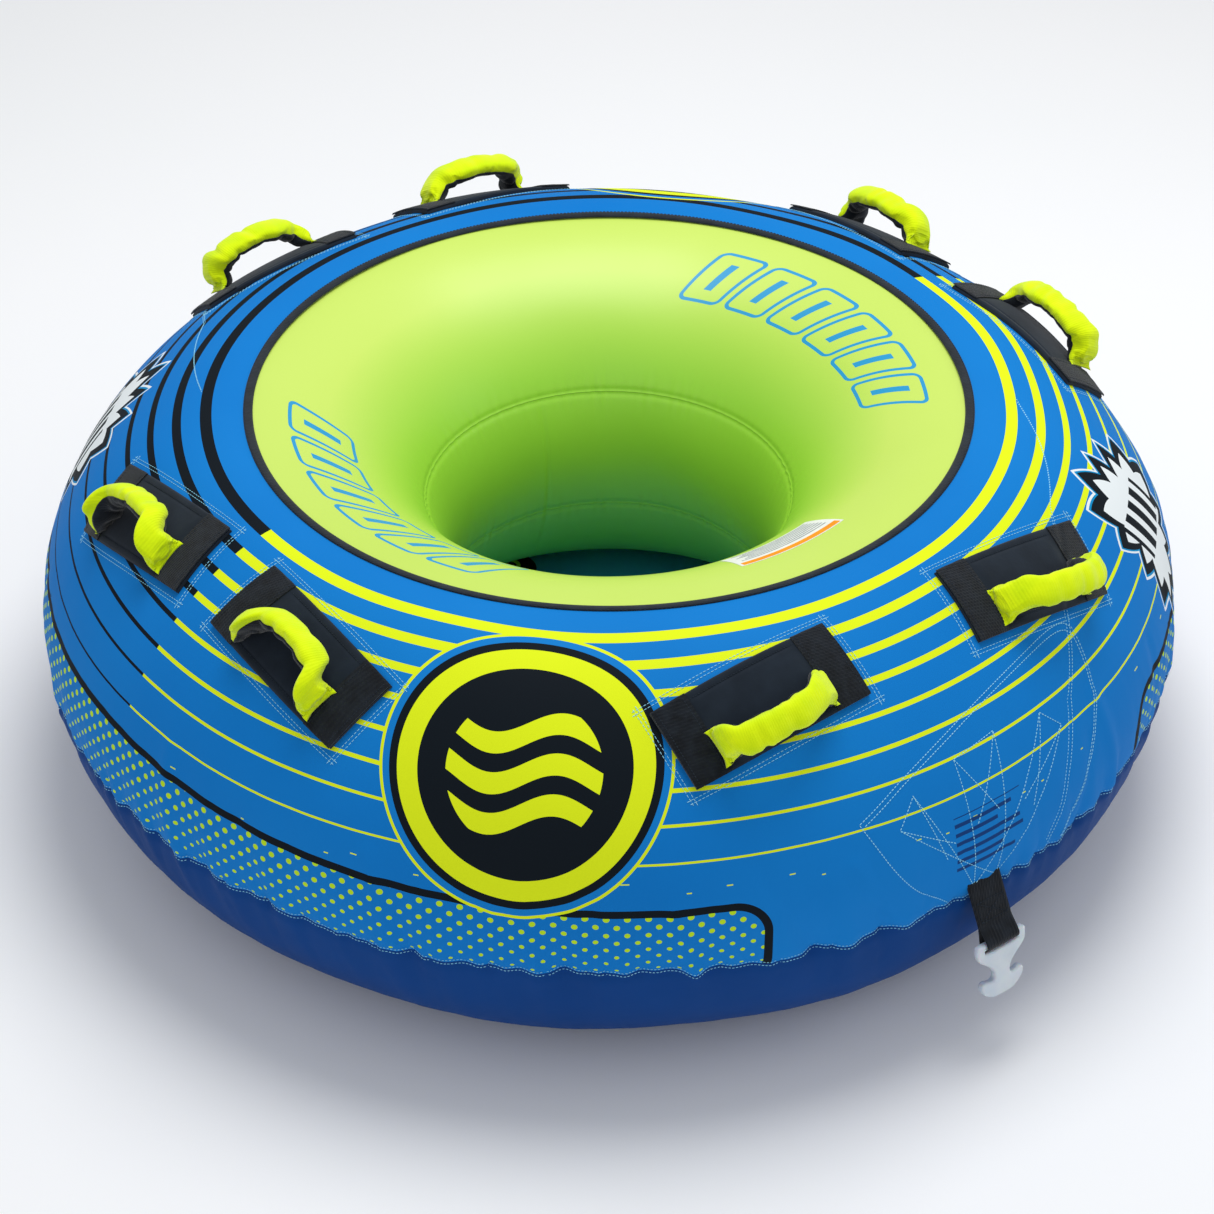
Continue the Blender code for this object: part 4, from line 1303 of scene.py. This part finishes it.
def make_tow_hook():
    """The moulded hook: a yoke over the loop, a waisted stem and two blunt horns."""
    base = math.hypot(0.004, 0.006) + 0.001 + TOW_WEBBING + 0.002
    slot = TOW_WIDTH / 2.0 + 0.0015
    half = [(0.0, 0.004), (0.036, 0.004), (0.0455, 0.003), (0.0455, -base), (0.042, -base - 0.010),
            (0.030, -base - 0.020), (0.0165, -0.046), (0.0135, -0.058), (0.017, -0.0655),
            (0.026, -0.0645), (0.032, -0.0615), (0.0385, -0.0640), (0.040, -0.0710),
            (0.0370, -0.0800), (0.030, -0.0880), (0.018, -0.0945), (0.006, -0.0950)]
    outline = half + [(-x, z) for x, z in reversed(half[1:])]
    hole = [(-slot, -0.004), (slot, -0.004), (slot, -base), (-slot, -base)]
    curve = bpy.data.curves.new("hook_shape", "CURVE")
    curve.dimensions = "2D"
    curve.fill_mode = "BOTH"
    curve.extrude = 0.0060 - 0.0037
    curve.bevel_depth = 0.0037
    curve.bevel_resolution = 4
    curve.offset = -0.0037
    for loop in (rounded(outline, 3), rounded(hole, 1)):
        spline = curve.splines.new("POLY")
        spline.points.add(len(loop) - 1)
        for point, (x, z) in zip(spline.points, loop):
            point.co = (x, z, 0.0, 1.0)
        spline.use_cyclic_u = True
    draft = bpy.data.objects.new("hook_draft", curve)
    bpy.context.scene.collection.objects.link(draft)
    graph = bpy.context.evaluated_depsgraph_get()
    mesh = bpy.data.meshes.new_from_object(draft.evaluated_get(graph))
    bpy.data.objects.remove(draft)
    mesh.transform(HOOK_MATRIX @ Matrix.Rotation(math.radians(90.0), 4, "X"))
    face_out(mesh, 0.00002)
    mesh.shade_smooth()
    mesh.set_sharp_from_angle(angle=math.radians(40.0))
    mesh.materials.clear()
    mesh.materials.append(HOOK_PLASTIC)
    hook = bpy.data.objects.new("tow_hook_moulding", mesh)
    bpy.context.scene.collection.objects.link(hook)
    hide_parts("tow_hook")
    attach(hook, "tow_hook")


make_tow_strap()
make_tow_hook()


# ---- valve, zipper and label ---------------------------------------------------------------------
def lathed(name, profile, matrix, material, body, steps=64, arc=360.0, start=0.0):
    """A closed profile of (radius, height), turned right round or through part of a turn."""
    profile = np.asarray(profile, float)
    count = len(profile)
    full = arc >= 360.0
    turns = np.radians(start + np.linspace(0.0, arc, steps, endpoint=not full))
    grid = np.stack([profile[None, :, 0] * np.cos(turns)[:, None],
                     profile[None, :, 0] * np.sin(turns)[:, None],
                     np.broadcast_to(profile[None, :, 1], (len(turns), count))], -1)
    return add_mesh(name, moved(matrix, grid).reshape(-1, 3), tube_faces(len(turns), count, full),
                    material, body=body, sharp=35.0)


def make_valve():
    turn = math.radians(VALVE_AZIMUTH)
    matrix = Matrix.Translation((VALVE_REACH * math.cos(turn), VALVE_REACH * math.sin(turn), 0.0))
    low = 0.0013
    collar = lathed("valve_collar_disc", [(0.0215, low), (0.0465, low), (0.0472, low + 0.0008),
                                          (0.0450, low + 0.0020), (0.0300, low + 0.0026),
                                          (0.0285, low + 0.0044), (0.0245, low + 0.0050),
                                          (0.0215, low + 0.0040)],
                    matrix, RUBBER, "tube")
    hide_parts("valve_collar")
    seat = lathed("valve_seat_ring", [(0.0157, low), (0.0207, low), (0.0207, low + 0.0044),
                                      (0.0200, low + 0.0050), (0.0164, low + 0.0050),
                                      (0.0157, low + 0.0044)],
                  matrix, RUBBER, "tube")
    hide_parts("valve_seat")
    top = low + 0.0053
    cap = lathed("valve_cap_disc", [(0.0004, top), (0.0196, top), (0.0206, top + 0.0008),
                                    (0.0204, top + 0.0020), (0.0110, top + 0.0022),
                                    (0.0100, top + 0.0010), (0.0004, top + 0.0008)],
                 matrix, CAP_DARK, "valve_cap")
    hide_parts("valve_cap")
    lathed("valve_cap_arc", [(0.0122, top + 0.0018), (0.0192, top + 0.0018),
                             (0.0188, top + 0.0036), (0.0172, top + 0.0040),
                             (0.0142, top + 0.0040), (0.0126, top + 0.0036)],
           matrix, CAP_PLASTIC, "valve_cap", arc=292.0, start=150.0)


def block(size, matrix, rounding):
    """A rounded block, as points and faces."""
    bm = bmesh.new()
    bmesh.ops.create_cube(bm, size=1.0)
    bmesh.ops.scale(bm, vec=size, verts=bm.verts)
    bmesh.ops.bevel(bm, geom=bm.edges, offset=rounding, segments=3, affect="EDGES", profile=0.5)
    bmesh.ops.transform(bm, matrix=matrix, verts=bm.verts)
    points = np.array([list(v.co) for v in bm.verts])
    bm.verts.index_update()
    faces = [tuple(v.index for v in f.verts) for f in bm.faces]
    bm.free()
    return points, faces


def make_zipper():
    half = math.degrees(0.016 / float(section_radius(math.radians(ZIPPER_ANGLE))))
    azimuth = np.linspace(ZIPPER_START, ZIPPER_END, 281)
    rows = np.linspace(-1.0, 1.0, 15)
    grid_a, grid_t = np.meshgrid(azimuth, rows, indexing="ij")
    high = 0.0023 - 0.0008 * swell(np.abs(grid_t), 0.88, 1.0)
    high = high + 0.0003 * np.exp(-((np.abs(grid_t) - 0.3) / 0.06) ** 2)
    points, faces = closed_sheet(skin(grid_a, ZIPPER_ANGLE + grid_t * half, high),
                                 skin(grid_a, ZIPPER_ANGLE + grid_t * half, 0.0004))
    tape = add_mesh("zipper_tape_strip", points, faces, ZIP_TAPE)
    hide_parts("zipper_tape")
    for sign, name in ((-1.0, "low"), (1.0, "high")):
        line = [[(a, ZIPPER_ANGLE + sign * half * 0.78)
                 for a in np.linspace(ZIPPER_START + 0.4, ZIPPER_END - 0.4, 141)]]
        seam_thread("zipper_stitching_" + name, line, THREAD, slot="zipper_tape", offset=0.0024,
                    length=0.0034, pitch=0.0052)
    teeth = []
    for k, a in enumerate(np.arange(ZIPPER_START + 1.0, ZIPPER_END - 1.0, 0.165)):
        shift = half * 0.06 * (1.0 if k % 2 else -1.0)
        point = Vector(skin(a, ZIPPER_ANGLE + shift, 0.0027))
        around, _, normal = axes_on(skin, a, ZIPPER_ANGLE, 0.1, 0.3)
        matrix = matrix_of(point, (around, normal.cross(around), normal))
        teeth.append(block((0.0013, 0.0050, 0.0010), matrix, 0.0003))
    points, faces = joined(teeth)
    add_mesh("zipper_teeth", points, faces, RUBBER, sharp=0.0)

    start = ZIPPER_START + 3.0
    lift = 0.0008 + 0.0015 + 0.001 + 0.0025
    point = Vector(turned(start, ZIPPER_ANGLE, lift))
    around, _, normal = axes_on(turned, start, ZIPPER_ANGLE, 0.2, 0.2)
    matrix = matrix_of(point, (around, normal.cross(around), normal))
    parts = [block(size, matrix @ Matrix.Translation(shift), rounding)
             for size, shift, rounding in
             (((0.0155, 0.0115, 0.0016), (0, 0, -0.0014), 0.0006),
              ((0.0100, 0.0080, 0.0018), (0, 0, 0.0004), 0.0007),
              ((0.0060, 0.0030, 0.0014), (-0.001, 0, 0.0016), 0.0005))]
    points, faces = joined(parts)
    slider = add_mesh("zipper_slider_body", points, faces, ZIP_METAL,
                      body="zipper_slider", sharp=0.0)
    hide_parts("zipper_slider")
    rise = 0.0025 + 0.001 + 0.0009
    pull = matrix @ Matrix.Translation((0.0, 0.0, rise))
    outer = rounded([(-0.0008, -0.0042), (0.0110, -0.0042), (0.0330, -0.0030),
                     (0.0330, 0.0030), (0.0110, 0.0042), (-0.0008, 0.0042)], 3)
    centre = np.array([0.0155, 0.0])
    hole = centre + (outer - centre) * np.array([0.62, 0.45])
    layers = []
    for z, grow in ((-0.0009, 0.94), (-0.0005, 1.0), (0.0005, 1.0), (0.0009, 0.94)):
        layers.append(np.column_stack([centre + (outer - centre) * grow,
                                       np.full(len(outer), z)]))
    for z, grow in ((0.0009, 1.06), (0.0004, 1.0), (-0.0004, 1.0), (-0.0009, 1.06)):
        layers.append(np.column_stack([centre + (hole - centre) * grow, np.full(len(hole), z)]))
    grid = np.stack(layers, 0)
    tab = add_mesh("zipper_pull_tab", moved(pull, grid).reshape(-1, 3),
                   tube_faces(8, len(outer), True), ZIP_METAL,
                   body="zipper_pull", sharp=40.0)
    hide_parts("zipper_pull")


def laid_sheet(name, a0, a1, p0, p1, low, high, material, steps=(24, 12)):
    """A thin sheet stuck on the bladder between two azimuths and two section angles."""
    grid_a, grid_p = np.meshgrid(np.linspace(a0, a1, steps[0]), np.linspace(p0, p1, steps[1]),
                                 indexing="ij")
    points, faces = closed_sheet(film(grid_a, grid_p, high), film(grid_a, grid_p, low))
    return add_mesh(name, points, faces, material)


def make_label():
    """A blank sewn-in information label: a white ground, grey rules and an orange bar."""
    laid_sheet("information_label", -102.0, -78.0, 113.8, 128.0, 0.0001, 0.0006, LABEL_WHITE)
    laid_sheet("label_orange_bar", -101.4, -78.6, 114.2, 116.4, 0.0004, 0.0009, LABEL_ORANGE)
    parts = []
    for k in range(7):
        angle = 118.2 + k * 1.34
        end = -100.4 + (k * 37 % 11) * 0.30
        grid_a, grid_p = np.meshgrid(np.linspace(end, -79.6, 16),
                                     np.linspace(angle, angle + 0.52, 3), indexing="ij")
        parts.append(closed_sheet(film(grid_a, grid_p, 0.0009), film(grid_a, grid_p, 0.0004)))
    points, faces = joined(parts)
    add_mesh("label_grey_rules", points, faces, LABEL_GREY)


make_valve()
make_zipper()
make_label()
